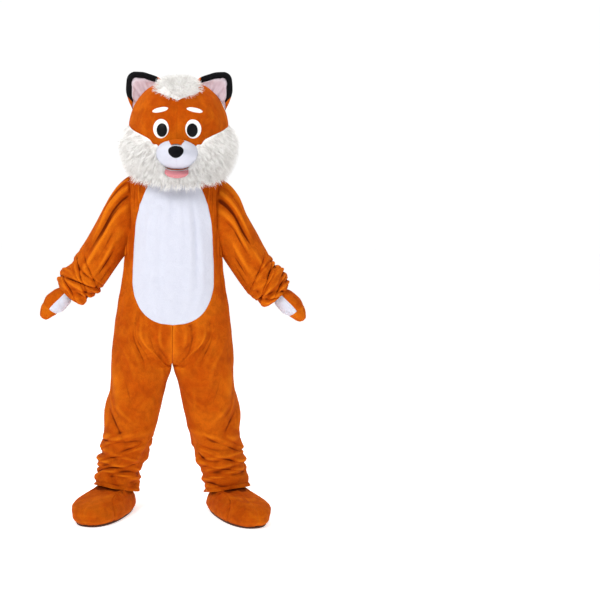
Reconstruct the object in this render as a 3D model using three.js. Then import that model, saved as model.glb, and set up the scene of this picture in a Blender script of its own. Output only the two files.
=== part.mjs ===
// A plush fox costume for an adult wearer: a one-piece suit with a belly panel, sleeves and a
// stuffed tail, a pair of mitts, a pair of foot covers and a head with ears, fur cheeks and a snout.
// It is shown filled out, as on a wearer with the arms held away from the sides, and it is hollow.
// Lengths are millimetres. Heights in the tables are above the floor. +Z is up, the front faces -Y,
// and the wearer's left is +X. Every piece is worked out on the left side and mirrored for the right.
import * as THREE from "three";

// Driving sizes
const HELD_HEIGHT = 1440; // the shoulder line, where the wearer carries the suit
const CLOTH = 3; // short plush on a knitted back
const FOAM_CLOTH = 6; // plush bonded to the foam shell of the head
const SEAM = 0.3; // between two pieces that are sewn edge to edge
const NECK_HEIGHT = 1512;
const SHOULDER_HEIGHT = 1466;
const ARMPIT_HEIGHT = 1122;
const RISE_TOP = 800; // where the centre seams leave the trunk for the crotch
const CROTCH_HEIGHT = 642;
const GATHER_TOP = 322; // the gathered stretch of the leg starts here
const HEM_HEIGHT = 91.6;
const HEM_TILT = 24;
const ARMHOLE_REACH = 0.15; // share of the trunk's half girth that the armhole takes each way
const TRUNK_POWER = 2.4; // how square the trunk's sections are, 2 being an ellipse
const ARM_LENGTH = 424; // along the sleeve's middle line, gathered as worn
const FOOT_TURN = 19; // degrees that the toes point out
const TAIL_SWING = 0.3; // how far the tail hangs to the wearer's left, as a share of its drop
const HEAD_MIDDLE = new THREE.Vector3(18, 0, 1660);
const FACE_TURN = 2.2; // degrees that the face looks to the wearer's right
const HEAD_POWER = 2.3;

const RED_FOX = 0xc65a12;
const SNOW = 0xf4f3f1;
const BELLY_WHITE = 0xeceef6;
const COAL = 0x111114;
const EAR_LINING = 0xd6c6cf;
const LIP_PINK = 0xc77f82;

// Trunk sections: half width, and how far the front and the back stand from the middle.
const TRUNK = [
  { z: 600, half: 266, front: 150, back: 152 },
  { z: 700, half: 262, front: 158, back: 166 },
  { z: 800, half: 256, front: 160, back: 172 },
  { z: 900, half: 244, front: 158, back: 164 },
  { z: 1000, half: 229, front: 154, back: 152 },
  { z: 1122, half: 214, front: 148, back: 144 },
  { z: 1250, half: 206, front: 140, back: 140 },
  { z: 1360, half: 203, front: 126, back: 130 },
  { z: 1430, half: 200, front: 106, back: 114 },
  { z: 1466, half: 188, front: 88, back: 98 },
  { z: 1488, half: 138, front: 74, back: 84 },
  { z: 1512, half: 78, front: 60, back: 68 },
];

// Leg sections: middle, half width and half depth.
const LEG = [
  { z: 91.6, x: 245, y: 14, half: 102, deep: 104 },
  { z: 130, x: 241, y: 13, half: 97, deep: 100 },
  { z: 170, x: 235, y: 13, half: 90, deep: 97 },
  { z: 230, x: 214, y: 11, half: 99, deep: 104 },
  { z: 330, x: 190, y: 8, half: 109, deep: 113 },
  { z: 426, x: 173, y: 4, half: 118, deep: 123 },
  { z: 557, x: 149, y: 2, half: 122, deep: 138 },
  { z: 642, x: 135, y: 0, half: 132, deep: 148 },
  { z: 800, x: 134, y: 0, half: 132, deep: 156 },
];

// Rolls of gathered cloth round a leg: height, how far they stand out, half their height, how much
// lower they lie on the inner side, and the side that they are fullest on.
const LEG_ROLLS = [
  { z: 166, bulge: 14, half: 16, drop: 16, fullest: 0.9 },
  { z: 206, bulge: 13, half: 15, drop: 18, fullest: 0.5 },
  { z: 254, bulge: 11, half: 20, drop: 22, fullest: 0.25 },
  { z: 306, bulge: 5, half: 24, drop: 28, fullest: 0.2 },
];

// Long folds in the suit, of a left or right half: height, place round the half from 0 at centre
// front to 1 at centre back, half length, half width, depth (negative is a trough) and lean in degrees.
const SUIT_FOLDS = [
  { z: 1340, t: 0.29, long: 95, wide: 26, deep: 11, lean: 5 },
  { z: 1325, t: 0.35, long: 85, wide: 22, deep: -9, lean: -6 },
  { z: 1345, t: 0.7, long: 110, wide: 30, deep: 11, lean: -5 },
  { z: 1180, t: 0.84, long: 190, wide: 36, deep: -9, lean: 6 },
  { z: 1040, t: 0.46, long: 130, wide: 34, deep: -11, lean: 6 },
  { z: 740, t: 0.12, long: 120, wide: 30, deep: 10, lean: 4 },
  { z: 715, t: 0.22, long: 110, wide: 26, deep: -9, lean: -6 },
  { z: 560, t: 0.38, long: 120, wide: 36, deep: 11, lean: 22 },
  { z: 450, t: 0.5, long: 90, wide: 32, deep: 12, lean: 34 },
  { z: 400, t: 0.36, long: 80, wide: 28, deep: -11, lean: 42 },
  { z: 352, t: 0.2, long: 22, wide: 110, deep: 9, lean: 8 },
  { z: 480, t: 0.72, long: 110, wide: 34, deep: 11, lean: -30 },
  { z: 390, t: 0.64, long: 70, wide: 28, deep: -10, lean: -44 },
];
const FOLD_GIRTH = 760; // turns a place round the half into millimetres

// Sleeve sections from the armhole to the cuff, by distance along the middle line: the ends of the
// upper and the under side in the front view, and half the depth.
const SLEEVE = [
  { s: 0, topX: 190, topZ: 1466, underX: 214, underZ: 1122, deep: 78 },
  { s: 38, topX: 232, topZ: 1442, underX: 227, underZ: 1098, deep: 87 },
  { s: 86, topX: 276, topZ: 1380, underX: 240, underZ: 1078, deep: 94 },
  { s: 140, topX: 316, topZ: 1305, underX: 252, underZ: 1060, deep: 96 },
  { s: 202, topX: 362, topZ: 1222, underX: 268, underZ: 1036, deep: 94 },
  { s: 260, topX: 402, topZ: 1154, underX: 291, underZ: 1004, deep: 92 },
  { s: 320, topX: 443, topZ: 1093, underX: 321, underZ: 967, deep: 88 },
  { s: 374, topX: 480, topZ: 1042, underX: 365, underZ: 936, deep: 80 },
  { s: 406, topX: 497, topZ: 1007, underX: 400, underZ: 912, deep: 70 },
  { s: 424, topX: 495, topZ: 982, underX: 427, underZ: 918, deep: 56 },
];
const SLEEVE_ROLLS = [
  { s: 336, bulge: 8, half: 14, drop: -8, fullest: 0.95 },
  { s: 368, bulge: 12, half: 13, drop: 6, fullest: 0.3 },
  { s: 400, bulge: 10, half: 12, drop: 4, fullest: 0.75 },
];
// Creases and ridges that run down the sleeve from the armhole: place round it in degrees from the
// upper side over the front, distance along, half length, half width, depth.
const SLEEVE_FOLDS = [
  { turn: 40, s: 85, long: 80, wide: 26, deep: 10 },
  { turn: 66, s: 110, long: 90, wide: 24, deep: -10 },
  { turn: 92, s: 160, long: 100, wide: 28, deep: 9 },
  { turn: 320, s: 85, long: 80, wide: 26, deep: 10 },
  { turn: 294, s: 115, long: 90, wide: 24, deep: -10 },
  { turn: 266, s: 160, long: 100, wide: 28, deep: 9 },
];

// Half width of the belly panel, which is set in between the two front panels.
const BELLY = [
  { z: 834, half: 0 },
  { z: 840, half: 52 },
  { z: 856, half: 92 },
  { z: 883, half: 126 },
  { z: 918, half: 150 },
  { z: 960, half: 167 },
  { z: 1010, half: 175 },
  { z: 1122, half: 171 },
  { z: 1238, half: 163 },
  { z: 1330, half: 147 },
  { z: 1400, half: 122 },
  { z: 1466, half: 84 },
  { z: 1512, half: 60 },
];

// Mitt sections: middle line in the front view, and how far the back of the hand, the palm and the
// sides stand from it.
const MITT = [
  { s: 0, x: 446, z: 980, back: 22, palm: 28, side: 34 },
  { s: 24, x: 463, z: 963, back: 30, palm: 35, side: 41 },
  { s: 60, x: 488, z: 937, back: 44, palm: 49, side: 51 },
  { s: 96, x: 514, z: 912, back: 48, palm: 51, side: 55 },
  { s: 122, x: 532, z: 892, back: 42, palm: 42, side: 53 },
  { s: 146, x: 548, z: 872, back: 35, palm: 32, side: 48 },
  { s: 166, x: 559, z: 856, back: 26, palm: 25, side: 40 },
  { s: 178, x: 565, z: 846, back: 17, palm: 17, side: 28 },
  { s: 184, x: 568, z: 841, back: 0, palm: 0, side: 0 },
];
const KNUCKLE = 128; // where the finger piece is sewn to the hand
const FINGERS = 3;
const FINGER_DEPTH = 5; // of the valleys between them

// Foot sections by height: how far ahead of the ankle and how far out their middle is, and how far the
// toe, the heel and the sides stand from that middle.
const FOOT = [
  { h: 9, middle: 130, aside: 0, toe: 212, heel: 212, side: 98 },
  { h: 28, middle: 130, aside: 1, toe: 229, heel: 226, side: 106 },
  { h: 50, middle: 130, aside: 5, toe: 229, heel: 226, side: 106 },
  { h: 72, middle: 128, aside: 10, toe: 212, heel: 218, side: 101 },
  { h: 88, middle: 122, aside: 9, toe: 174, heel: 206, side: 84 },
  { h: 98, middle: 98, aside: 5, toe: 124, heel: 180, side: 71 },
  { h: 103, middle: 46, aside: 3, toe: 61, heel: 126, side: 68.7 },
  { h: 108, middle: 9, aside: 3, toe: 72.6, heel: 86, side: 67.7 },
  { h: 130, middle: 0, aside: 0, toe: 78, heel: 72, side: 66 },
  { h: 160, middle: 0, aside: 0, toe: 66, heel: 64, side: 58 },
  { h: 190, middle: 0, aside: 0, toe: 58, heel: 58, side: 52 },
];
const SOLE = { top: 8.6, edge: 3, inset: 5 };
const FOOT_WALL = 4;

// Tail sections: middle line seen from the side, and half width and half depth.
const TAIL = [
  { s: 0, y: 170, z: 938, half: 14, deep: 13 },
  { s: 30, y: 192, z: 918, half: 31, deep: 27 },
  { s: 104, y: 240, z: 862, half: 58, deep: 50 },
  { s: 225, y: 306, z: 762, half: 86, deep: 76 },
  { s: 345, y: 358, z: 654, half: 99, deep: 90 },
  { s: 470, y: 408, z: 540, half: 105, deep: 96 },
  { s: 570, y: 442, z: 446, half: 97, deep: 89 },
  { s: 650, y: 464, z: 369, half: 79, deep: 72 },
  { s: 710, y: 478, z: 311, half: 48, deep: 44 },
  { s: 738, y: 484, z: 284, half: 18, deep: 17 },
  { s: 746, y: 486, z: 276, half: 0, deep: 0 },
];
const TAIL_TIP_START = 590;

// Head shell: half sizes, how far the lower half would reach at the back and what it gains in front.
const HEAD = { side: 213, front: 200, back: 205, up: 211, low: 180, lowFront: 110 };
const HEAD_RIM = { height: 1503, dip: 43 };

// Cheek fur by angle from the front: its upper edge, where it is sewn to the orange shell, the height
// and distance of the fur's lower tips, and how far the fur stands out.
const CHEEK = [
  { angle: 0, upper: 1486, tipZ: 1414, tipR: 196, puff: 36 },
  { angle: 8, upper: 1488, tipZ: 1415, tipR: 198, puff: 36 },
  { angle: 15, upper: 1496, tipZ: 1416, tipR: 200, puff: 36 },
  { angle: 21, upper: 1508, tipZ: 1420, tipR: 204, puff: 37 },
  { angle: 26, upper: 1529, tipZ: 1422, tipR: 206, puff: 37 },
  { angle: 28.5, upper: 1586, tipZ: 1424, tipR: 207, puff: 38 },
  { angle: 31, upper: 1606, tipZ: 1427, tipR: 208, puff: 38 },
  { angle: 35, upper: 1617, tipZ: 1430, tipR: 210, puff: 38 },
  { angle: 60, upper: 1652, tipZ: 1453, tipR: 212, puff: 42 },
  { angle: 90, upper: 1684, tipZ: 1483, tipR: 206, puff: 44 },
  { angle: 118, upper: 1688, tipZ: 1482, tipR: 180, puff: 32 },
  { angle: 126, upper: 1650, tipZ: 1485, tipR: 164, puff: 22 },
  { angle: 142, upper: 1512, tipZ: 1490, tipR: 122, puff: 8 },
];
const CHEEK_END = 142; // degrees from the front, at the back of the head
const CHEEK_SHELL_SHARE = 0.7; // the rest of the piece hangs below the shell

// Ear outline in the front view, from its inner foot over the tip to its outer foot.
const EAR = [
  { u: 0, x: 66, z: 1867 },
  { u: 0.12, x: 92, z: 1889 },
  { u: 0.26, x: 124, z: 1901 },
  { u: 0.42, x: 163, z: 1911 },
  { u: 0.52, x: 193, z: 1912 },
  { u: 0.6, x: 216, z: 1901 },
  { u: 0.68, x: 227, z: 1879 },
  { u: 0.8, x: 230, z: 1834 },
  { u: 0.91, x: 219, z: 1790 },
  { u: 1, x: 201, z: 1751 },
];
const EAR_FEET = { inner: 17.8, outer: 66 }; // degrees from the crown, where the ear meets the head
const EAR_PLANE = 12; // behind the middle of the head
const EAR_BAND = 27; // width of the band along the ear's front edge
const EAR_BLACK = { from: 0.13, to: 0.87 }; // the stretch of the band that is black

const SNOUT = { z: 1551, half: 91, high: 60, reach: 134 };
const NOSE = { z: 1556, half: 31, high: 25, reach: 21 };
const BRIDGE = { half: 26, from: 0.56, to: 0.94 };
const EYE = { x: 67, z: 1656, half: 33, high: 40, thick: 3 };
const PUPIL = { x: 62, z: 1650, half: 22, high: 28, dome: 6 };
const BROW = { x: 71, z: 1734, half: 34, high: 10, thick: 3, tilt: 10 };
const LIP = { turn: 12.5, from: 0.04, to: 0.66, thick: 3 };

// Crown tuft in the top view: its widest place, half width, reach to the front and to the back, how
// pointed each end is from 1, straight sided, to 2, round, and the fur's height.
const TUFT = { y: -128, half: 97, front: 60, back: 132, frontPower: 1.3, backPower: 1.7, high: 26, edge: 5 };

// Small tools

const radians = (degrees) => (degrees * Math.PI) / 180;
const vector = (x, y, z) => new THREE.Vector3(x, y, z);
const signedPower = (value, power) => Math.sign(value) * Math.abs(value) ** power;
const clamp01 = (value) => Math.min(1, Math.max(0, value));
const mix = (a, b, share) => a + (b - a) * share;

function smooth(share) {
  const s = clamp01(share);
  return s * s * (3 - 2 * s);
}

function spread(from, to, steps, shape = (share) => share) {
  return Array.from({ length: steps + 1 }, (_, i) => mix(from, to, shape(i / steps)));
}

// Reads a table between its rows. Every column runs smoothly and never past its neighbours.
function reader(rows, key) {
  const columns = Object.keys(rows[0]).filter((name) => name !== key);
  const slope = (a, b, name) => (b[name] - a[name]) / (b[key] - a[key]);
  const through = (before, after) => (before * after <= 0 ? 0 : (2 * before * after) / (before + after));
  return (at) => {
    const last = rows.length - 2;
    const found = rows.findIndex((row, k) => k > 0 && at <= row[key]) - 1;
    const i = found < 0 ? last : found;
    const [a, b] = [rows[i], rows[i + 1]];
    const step = b[key] - a[key];
    const t = clamp01((at - a[key]) / step);
    const read = {};
    for (const name of columns) {
      const middle = slope(a, b, name);
      const start = i > 0 ? through(slope(rows[i - 1], a, name), middle) : middle;
      const end = i < last ? through(middle, slope(b, rows[i + 2], name)) : middle;
      read[name] =
        a[name] * (1 + 2 * t) * (1 - t) ** 2 +
        b[name] * t * t * (3 - 2 * t) +
        step * (start * t * (1 - t) ** 2 - end * t * t * (1 - t));
    }
    return read;
  };
}

// A bump that fades away from its middle.
const bump = (distance, half) => Math.exp(-((distance / half) ** 2));

// The outward normal of a surface at a place, from four points close by.
function normalOf(surface, u, v, stepU, stepV) {
  const alongU = surface(u + stepU, v).sub(surface(u - stepU, v));
  const alongV = surface(u, v + stepV).sub(surface(u, v - stepV));
  return alongU.cross(alongV).normalize();
}

// A surface moved along its normals. turn is -1 where the surface is read inside out.
function moved(surface, distance, stepU, stepV, turn = 1) {
  return (u, v) => surface(u, v).addScaledVector(normalOf(surface, u, v, stepU, stepV), distance * turn);
}

// A closed solid between two grids of points over the same places. loop joins the first and the last
// column. Points that coincide become one, so a pole or a sharp edge needs no special case.
function solidBetween(outer, inner, us, vs, loop = false) {
  const corners = [];
  const places = new Map();
  const cornerOf = (point) => {
    const name = point.toArray().map((c) => Math.round(c * 1e3)).join();
    if (!places.has(name)) {
      places.set(name, corners.length);
      corners.push(point);
    }
    return places.get(name);
  };
  const grid = (side) => us.map((u) => vs.map((v) => cornerOf(side(u, v))));
  const [outside, inside] = [grid(outer), grid(inner)];
  if (loop) {
    outside.push(outside[0]);
    inside.push(inside[0]);
  }
  const faces = [];
  const quad = (a, b, c, d) => {
    for (const face of [[a, b, c], [a, c, d]]) if (new Set(face).size === 3) faces.push(face);
  };
  const [columns, rows] = [outside.length, vs.length];
  for (let i = 0; i + 1 < columns; i++) {
    for (let j = 0; j + 1 < rows; j++) {
      quad(outside[i][j], outside[i + 1][j], outside[i + 1][j + 1], outside[i][j + 1]);
      quad(inside[i][j], inside[i][j + 1], inside[i + 1][j + 1], inside[i + 1][j]);
    }
    quad(outside[i][0], inside[i][0], inside[i + 1][0], outside[i + 1][0]);
    quad(outside[i][rows - 1], outside[i + 1][rows - 1], inside[i + 1][rows - 1], inside[i][rows - 1]);
  }
  for (let j = 0; j + 1 < rows && !loop; j++) {
    quad(outside[0][j], outside[0][j + 1], inside[0][j + 1], inside[0][j]);
    quad(outside[columns - 1][j], inside[columns - 1][j], inside[columns - 1][j + 1], outside[columns - 1][j + 1]);
  }
  const volume = faces.reduce(
    (sum, [a, b, c]) => sum + corners[a].dot(corners[b].clone().cross(corners[c])),
    0,
  );
  const order = volume < 0 ? faces.map(([a, b, c]) => [a, c, b]) : faces;
  const geometry = new THREE.BufferGeometry();
  geometry.setAttribute("position", new THREE.Float32BufferAttribute(corners.flatMap((c) => c.toArray()), 3));
  geometry.setIndex(order.flat());
  geometry.computeVertexNormals();
  return geometry;
}

// The suit's body: trunk above, one leg below

const trunkAt = reader(TRUNK, "z");
const legAt = reader(LEG, "z");

function trunkPoint(t, z) {
  const { half, front, back } = trunkAt(z);
  const across = signedPower(Math.sin(Math.PI * t), 2 / TRUNK_POWER);
  const along = signedPower(Math.cos(Math.PI * t), 2 / TRUNK_POWER);
  return vector(half * across, -along * (along > 0 ? front : back), z);
}

function legPoint(t, z) {
  const { x, y, half, deep } = legAt(z);
  return vector(x - half * Math.cos(2 * Math.PI * t), y - deep * Math.sin(2 * Math.PI * t), z);
}

// Above the crotch the centre seams follow a quarter of an ellipse from the trunk to the inside leg,
// and the cloth further round goes over more softly.
function plainBody(t, z) {
  if (z >= RISE_TOP) return trunkPoint(t, z);
  if (z <= CROTCH_HEIGHT) return legPoint(t, z);
  const fall = (RISE_TOP - z) / (RISE_TOP - CROTCH_HEIGHT);
  const fromSeam = smooth(Math.min(t, 1 - t) / 0.2);
  const share = mix(1 - Math.sqrt(1 - fall ** 2), smooth(fall), fromSeam);
  return trunkPoint(t, z).lerp(legPoint(t, z), share);
}

function rollsAt(rolls, key, at, turn) {
  return rolls.reduce((sum, roll) => {
    const middle = roll[key] - roll.drop * Math.cos(2 * Math.PI * turn);
    const fullness = 0.75 + 0.25 * Math.cos(2 * Math.PI * (turn - roll.fullest));
    return sum + roll.bulge * fullness * bump(at - middle, roll.half);
  }, 0);
}

function suitRelief(t, z) {
  const folds = SUIT_FOLDS.reduce((sum, fold) => {
    const away = z < CROTCH_HEIGHT ? t - fold.t - Math.round(t - fold.t) : t - fold.t;
    const [c, s] = [Math.cos(radians(fold.lean)), Math.sin(radians(fold.lean))];
    const [across, up] = [away * FOLD_GIRTH, z - fold.z];
    return sum + fold.deep * bump(up * c + across * s, fold.long) * bump(across * c - up * s, fold.wide);
  }, 0);
  return folds + (z < GATHER_TOP + 60 ? rollsAt(LEG_ROLLS, "z", z, t) : 0);
}

// The hem rises over the instep and dips behind the inner ankle.
function bodySurface(t, z) {
  const point = plainBody(t, z);
  const relief = suitRelief(t, z);
  if (relief !== 0) point.addScaledVector(normalOf(plainBody, t, z, 1e-3, 1), relief);
  const low = 1 - smooth((z - HEM_HEIGHT) / (GATHER_TOP - HEM_HEIGHT));
  point.z += low * HEM_TILT * Math.cos(2 * Math.PI * (t - 0.36));
  return point;
}

// Keeps a half's points on its own side of the centre seam.
const offCentre = (surface) => (u, v) => {
  const point = surface(u, v);
  point.x = Math.max(point.x, SEAM / 2);
  return point;
};

const armholeMiddle = (SHOULDER_HEIGHT + ARMPIT_HEIGHT) / 2;
const armholeHalf = (SHOULDER_HEIGHT - ARMPIT_HEIGHT) / 2;

// How far round the half the front or back panel reaches at a height: the side seam or the armhole.
function panelReach(z) {
  const q = (z - armholeMiddle) / armholeHalf;
  return 0.5 - (Math.abs(q) < 1 ? ARMHOLE_REACH * Math.sqrt(1 - q * q) : 0);
}

const toCorner = (share) => Math.sin((share * Math.PI) / 2);
const bothCorners = (share) => (1 - Math.cos(share * Math.PI)) / 2;
const ARMHOLE_STEPS = 8; // the sleeve has as many columns on each side
const SUIT_ROWS = [
  ...spread(NECK_HEIGHT, SHOULDER_HEIGHT, 2),
  ...spread(SHOULDER_HEIGHT, ARMPIT_HEIGHT, ARMHOLE_STEPS, bothCorners).slice(1),
  ...spread(ARMPIT_HEIGHT, BELLY[0].z, 6, toCorner).slice(1),
  ...spread(RISE_TOP, CROTCH_HEIGHT, 4, toCorner),
  ...spread(CROTCH_HEIGHT, GATHER_TOP, 4).slice(1),
  ...spread(GATHER_TOP, HEM_HEIGHT, 12).slice(1),
];
const SUIT_COLUMNS = 6;
const SEAM_SHARE = 0.0003; // half a seam, as a share of the half girth
const bellyAt = reader(BELLY, "z");

// The place round the half of the belly panel's edge, half a seam to the one or the other side.
function bellyEdge(z, side) {
  if (z < BELLY[0].z) return SEAM_SHARE;
  const slope = (bellyAt(z + 1).half - bellyAt(z - 1).half) / 2;
  const half = Math.max(0, bellyAt(z).half + side * (SEAM / 2) * Math.hypot(1, slope));
  return Math.asin((half / trunkAt(z).half) ** (TRUNK_POWER / 2)) / Math.PI;
}

// 1 where the body surface's normal points out, -1 where it points in.
const BODY_TURN = Math.sign(-normalOf(bodySurface, 0.1, 1000, 1e-3, 1).y);
const bodyWithin = moved(bodySurface, CLOTH, 1e-3, 1, -BODY_TURN);

function suitPanel(isFront) {
  const place = (share, z) => {
    const start = isFront ? bellyEdge(z, 1) : SEAM_SHARE;
    const round = mix(start, panelReach(z) - SEAM_SHARE, share);
    return isFront ? round : 1 - round;
  };
  const outside = (share, z) => bodySurface(place(share, z), z);
  const within = (share, z) => bodyWithin(place(share, z), z);
  return solidBetween(offCentre(outside), offCentre(within), spread(0, 1, SUIT_COLUMNS), SUIT_ROWS);
}

function bellyPanel() {
  const half = (surface) => (share, z) => {
    const point = surface(Math.abs(share) * bellyEdge(z, -1), z);
    return vector(share < 0 ? -point.x : point.x, point.y, point.z);
  };
  const rows = SUIT_ROWS.filter((z) => z >= BELLY[0].z);
  return solidBetween(half(bodySurface), half(bodyWithin), spread(-1, 1, 8), rows);
}

// Sleeves

const sleeveAt = reader(SLEEVE, "s");
const ARMHOLE_BLEND = 88;

function plainSleeve(angle, s) {
  const { topX, topZ, underX, underZ, deep } = sleeveAt(s);
  const [c, n] = [Math.cos(angle), Math.sin(angle)];
  const ring = vector(
    (topX + underX) / 2 + ((topX - underX) / 2) * c,
    -deep * n,
    (topZ + underZ) / 2 + ((topZ - underZ) / 2) * c,
  );
  const armhole = bodySurface(0.5 - ARMHOLE_REACH * n, armholeMiddle + armholeHalf * c);
  const point = armhole.lerp(ring, smooth(s / ARMHOLE_BLEND));
  point.x += SEAM;
  return point;
}

function sleeveSurface(angle, s) {
  const turn = angle / (2 * Math.PI);
  const folds = SLEEVE_FOLDS.reduce((sum, fold) => {
    const away = (turn - fold.turn / 360 - Math.round(turn - fold.turn / 360)) * 580;
    return sum + fold.deep * bump(away, fold.wide) * bump(s - fold.s, fold.long);
  }, 0);
  const rolls = s > 240 ? rollsAt(SLEEVE_ROLLS, "s", s, turn) : 0;
  const relief = (folds + rolls) * smooth(s / 60) * smooth((ARM_LENGTH - s) / 14);
  return plainSleeve(angle, s).addScaledVector(normalOf(plainSleeve, angle, s, 1e-3, 0.5), relief * SLEEVE_TURN);
}

// 1 where the plain sleeve's normal points out of the tube.
const SLEEVE_TURN = Math.sign(normalOf(plainSleeve, 0, 200, 1e-3, 0.5).z);
const SLEEVE_RINGS = [...spread(0, 240, 4), ...spread(240, ARM_LENGTH, 12).slice(1)];

function sleeve() {
  const within = moved(sleeveSurface, CLOTH, 1e-3, 0.5, -SLEEVE_TURN);
  const around = spread(0, 2 * Math.PI, 2 * ARMHOLE_STEPS).slice(0, -1);
  return solidBetween(sleeveSurface, within, around, SLEEVE_RINGS, true);
}

// Mitts: a back, a palm and a finger piece on one hand form

const mittAt = reader(MITT, "s");

const MITT_END = MITT[MITT.length - 1].s;

function mittSurface(angle, s, inset) {
  const at = mittAt(s);
  const ahead = mittAt(s + 4);
  const behind = mittAt(s - 4);
  const along = vector(ahead.x - behind.x, 0, ahead.z - behind.z).normalize();
  const outward = vector(-along.z, 0, along.x);
  const [c, n] = [signedPower(Math.cos(angle), 0.9), signedPower(Math.sin(angle), 0.9)];
  const between = smooth((s - KNUCKLE) / 30) * FINGER_DEPTH * Math.cos(Math.PI * FINGERS * n) ** 2;
  const high = Math.max(0, (c > 0 ? at.back : at.palm) - inset - between);
  const aside = Math.max(0, at.side - inset);
  return vector(at.x, -aside * n, at.z).addScaledVector(outward, high * c);
}

function mittPiece(from, to, start, end, steps, loop = false) {
  const outer = (turn, s) => mittSurface(radians(turn), s, 0);
  const inner = (turn, s) => mittSurface(radians(turn), Math.min(s, MITT_END - CLOTH), s < MITT_END ? CLOTH : 60);
  const turns = spread(from, to, steps.around);
  return solidBetween(outer, inner, loop ? turns.slice(0, -1) : turns, spread(start, end, steps.along), loop);
}

// Feet: an inner and an outer upper on a flat sole

const footAt = reader(FOOT, "h");

function footOutline(turn, h, inset = 0) {
  const { middle, aside, toe, heel, side } = footAt(h);
  const [c, n] = [signedPower(Math.cos(turn), 0.86), signedPower(Math.sin(turn), 0.86)];
  const ahead = middle + ((c > 0 ? toe : heel) - inset) * c;
  return vector(aside + (side - inset) * n, -ahead, h);
}

function footUpper(fromTurn, toTurn) {
  const surface = (turn, h) => footOutline(turn, h);
  const sign = Math.sign(-normalOf(surface, 0, 60, 1e-3, 0.5).y);
  const shift = SEAM / 2 / 200;
  const levels = [9, 17, 30, 55, 74, 88, 97, 103, 109, 130, 160, 190];
  const turns = spread(radians(fromTurn) + shift, radians(toTurn) - shift, 9);
  return solidBetween(surface, moved(surface, FOOT_WALL, 1e-3, 0.5, -sign), turns, levels);
}

function footSole() {
  const turns = spread(0, 2 * Math.PI, 28).slice(0, -1);
  const levels = [0, 1];
  const middle = vector(0, -FOOT[0].middle, 0);
  const side = (share, turn, v) => footOutline(turn, FOOT[0].h, share * SOLE.inset).lerp(middle, v);
  const top = (turn, v) => side(0, turn, v).setZ(SOLE.top);
  const bottom = (turn, v) => side(1, turn, v).setZ(0);
  return solidBetween(top, bottom, turns, levels, true);
}

// Tail: stuffed, so each piece is solid

const tailAt = reader(TAIL, "s");

function tailPoint(angle, s, share) {
  const at = tailAt(s);
  const ahead = tailAt(s + 5);
  const behind = tailAt(s - 5);
  const along = vector(0, ahead.y - behind.y, ahead.z - behind.z).normalize();
  const outward = vector(0, -along.z, along.y);
  const point = vector(at.half * share * Math.sin(angle), at.y, at.z);
  point.addScaledVector(outward, at.deep * share * Math.cos(angle));
  point.x += TAIL_SWING * (TAIL[0].z - point.z);
  return point;
}

function tailPiece(from, to, rings) {
  const around = spread(0, 2 * Math.PI, 14).slice(0, -1);
  const outer = (angle, s) => tailPoint(angle, s, 1);
  const middle = (angle, s) => tailPoint(angle, s, 0);
  return solidBetween(outer, middle, around, spread(from, to, rings), true);
}

// Head shell: latitude runs from 90 at the crown, through 0 at the widest, to the rim

const lowReach = (turn) => HEAD.low + HEAD.lowFront * ((1 + Math.cos(turn)) / 2) ** 1.5;
const rimHeight = (turn) => HEAD_RIM.height - HEAD_RIM.dip * Math.max(0, Math.cos(turn)) ** 1.5;

function headPoint(turn, latitude) {
  const up = signedPower(Math.sin(latitude), 2 / HEAD_POWER);
  const out = signedPower(Math.cos(latitude), 2 / HEAD_POWER);
  const depth = Math.cos(turn) > 0 ? HEAD.front : HEAD.back;
  return vector(
    HEAD.side * Math.sin(turn) * out,
    -depth * Math.cos(turn) * out,
    HEAD_MIDDLE.z + up * (up > 0 ? HEAD.up : lowReach(turn)),
  );
}

function latitudeAt(turn, z) {
  const rise = z - HEAD_MIDDLE.z;
  const share = clamp01(Math.abs(rise) / (rise > 0 ? HEAD.up : lowReach(turn)));
  return Math.sign(rise) * Math.asin(share ** (HEAD_POWER / 2));
}

// The point of the shell's front at a place across and a height.
function headFront(x, z, out) {
  let turn = 0;
  for (let i = 0; i < 6; i++) {
    const wide = HEAD.side * Math.cos(latitudeAt(turn, z)) ** (2 / HEAD_POWER);
    turn = Math.asin(Math.min(1, Math.abs(x) / wide));
  }
  const point = headOut(turn, latitudeAt(turn, z), out);
  return vector(x < 0 ? -point.x : point.x, point.y, point.z);
}

const HEAD_TURN = Math.sign(-normalOf(headPoint, 0.2, 0, 1e-3, 1e-3).y);

function headOut(turn, latitude, out) {
  const lat = Math.min(latitude, Math.PI / 2 - 0.02);
  const normal = latitude > 1.54 ? vector(0, 0, 1) : normalOf(headPoint, turn, lat, 1e-3, 1e-3).multiplyScalar(HEAD_TURN);
  return headPoint(turn, latitude).addScaledVector(normal, out);
}

// Columns of the shell and of the cheek fur, in degrees from the front.
const HEAD_COLUMNS = [
  ...[0, 8, 15, 21, 26, 28.5, 31, 35],
  ...spread(35, 118, 6).slice(1),
  ...spread(118, CHEEK_END, 2).slice(1),
  ...spread(CHEEK_END, 180, 3).slice(1),
];
const cheekAt = reader(CHEEK, "angle");

// The latitude of the seam between shell and cheek fur, half a seam up or down.
function cheekSeam(angle, side) {
  const slope = (cheekAt(angle + 0.5).upper - cheekAt(angle - 0.5).upper) / (radians(1) * HEAD.side);
  return latitudeAt(radians(angle), cheekAt(angle).upper + side * (SEAM / 2) * Math.hypot(1, slope));
}

function headHalf() {
  const at = (out) => (angle, v) => {
    const turn = radians(angle);
    const low = angle > CHEEK_END ? latitudeAt(turn, rimHeight(turn)) : cheekSeam(angle, 1);
    return headOut(turn, mix(Math.PI / 2, low, v), out);
  };
  return solidBetween(offCentre(at(0)), offCentre(at(-FOAM_CLOTH)), HEAD_COLUMNS, spread(0, 1, 9));
}

// Cheek fur: a part of the shell that stands out as far as its fur reaches, and hangs below as a fringe

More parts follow.
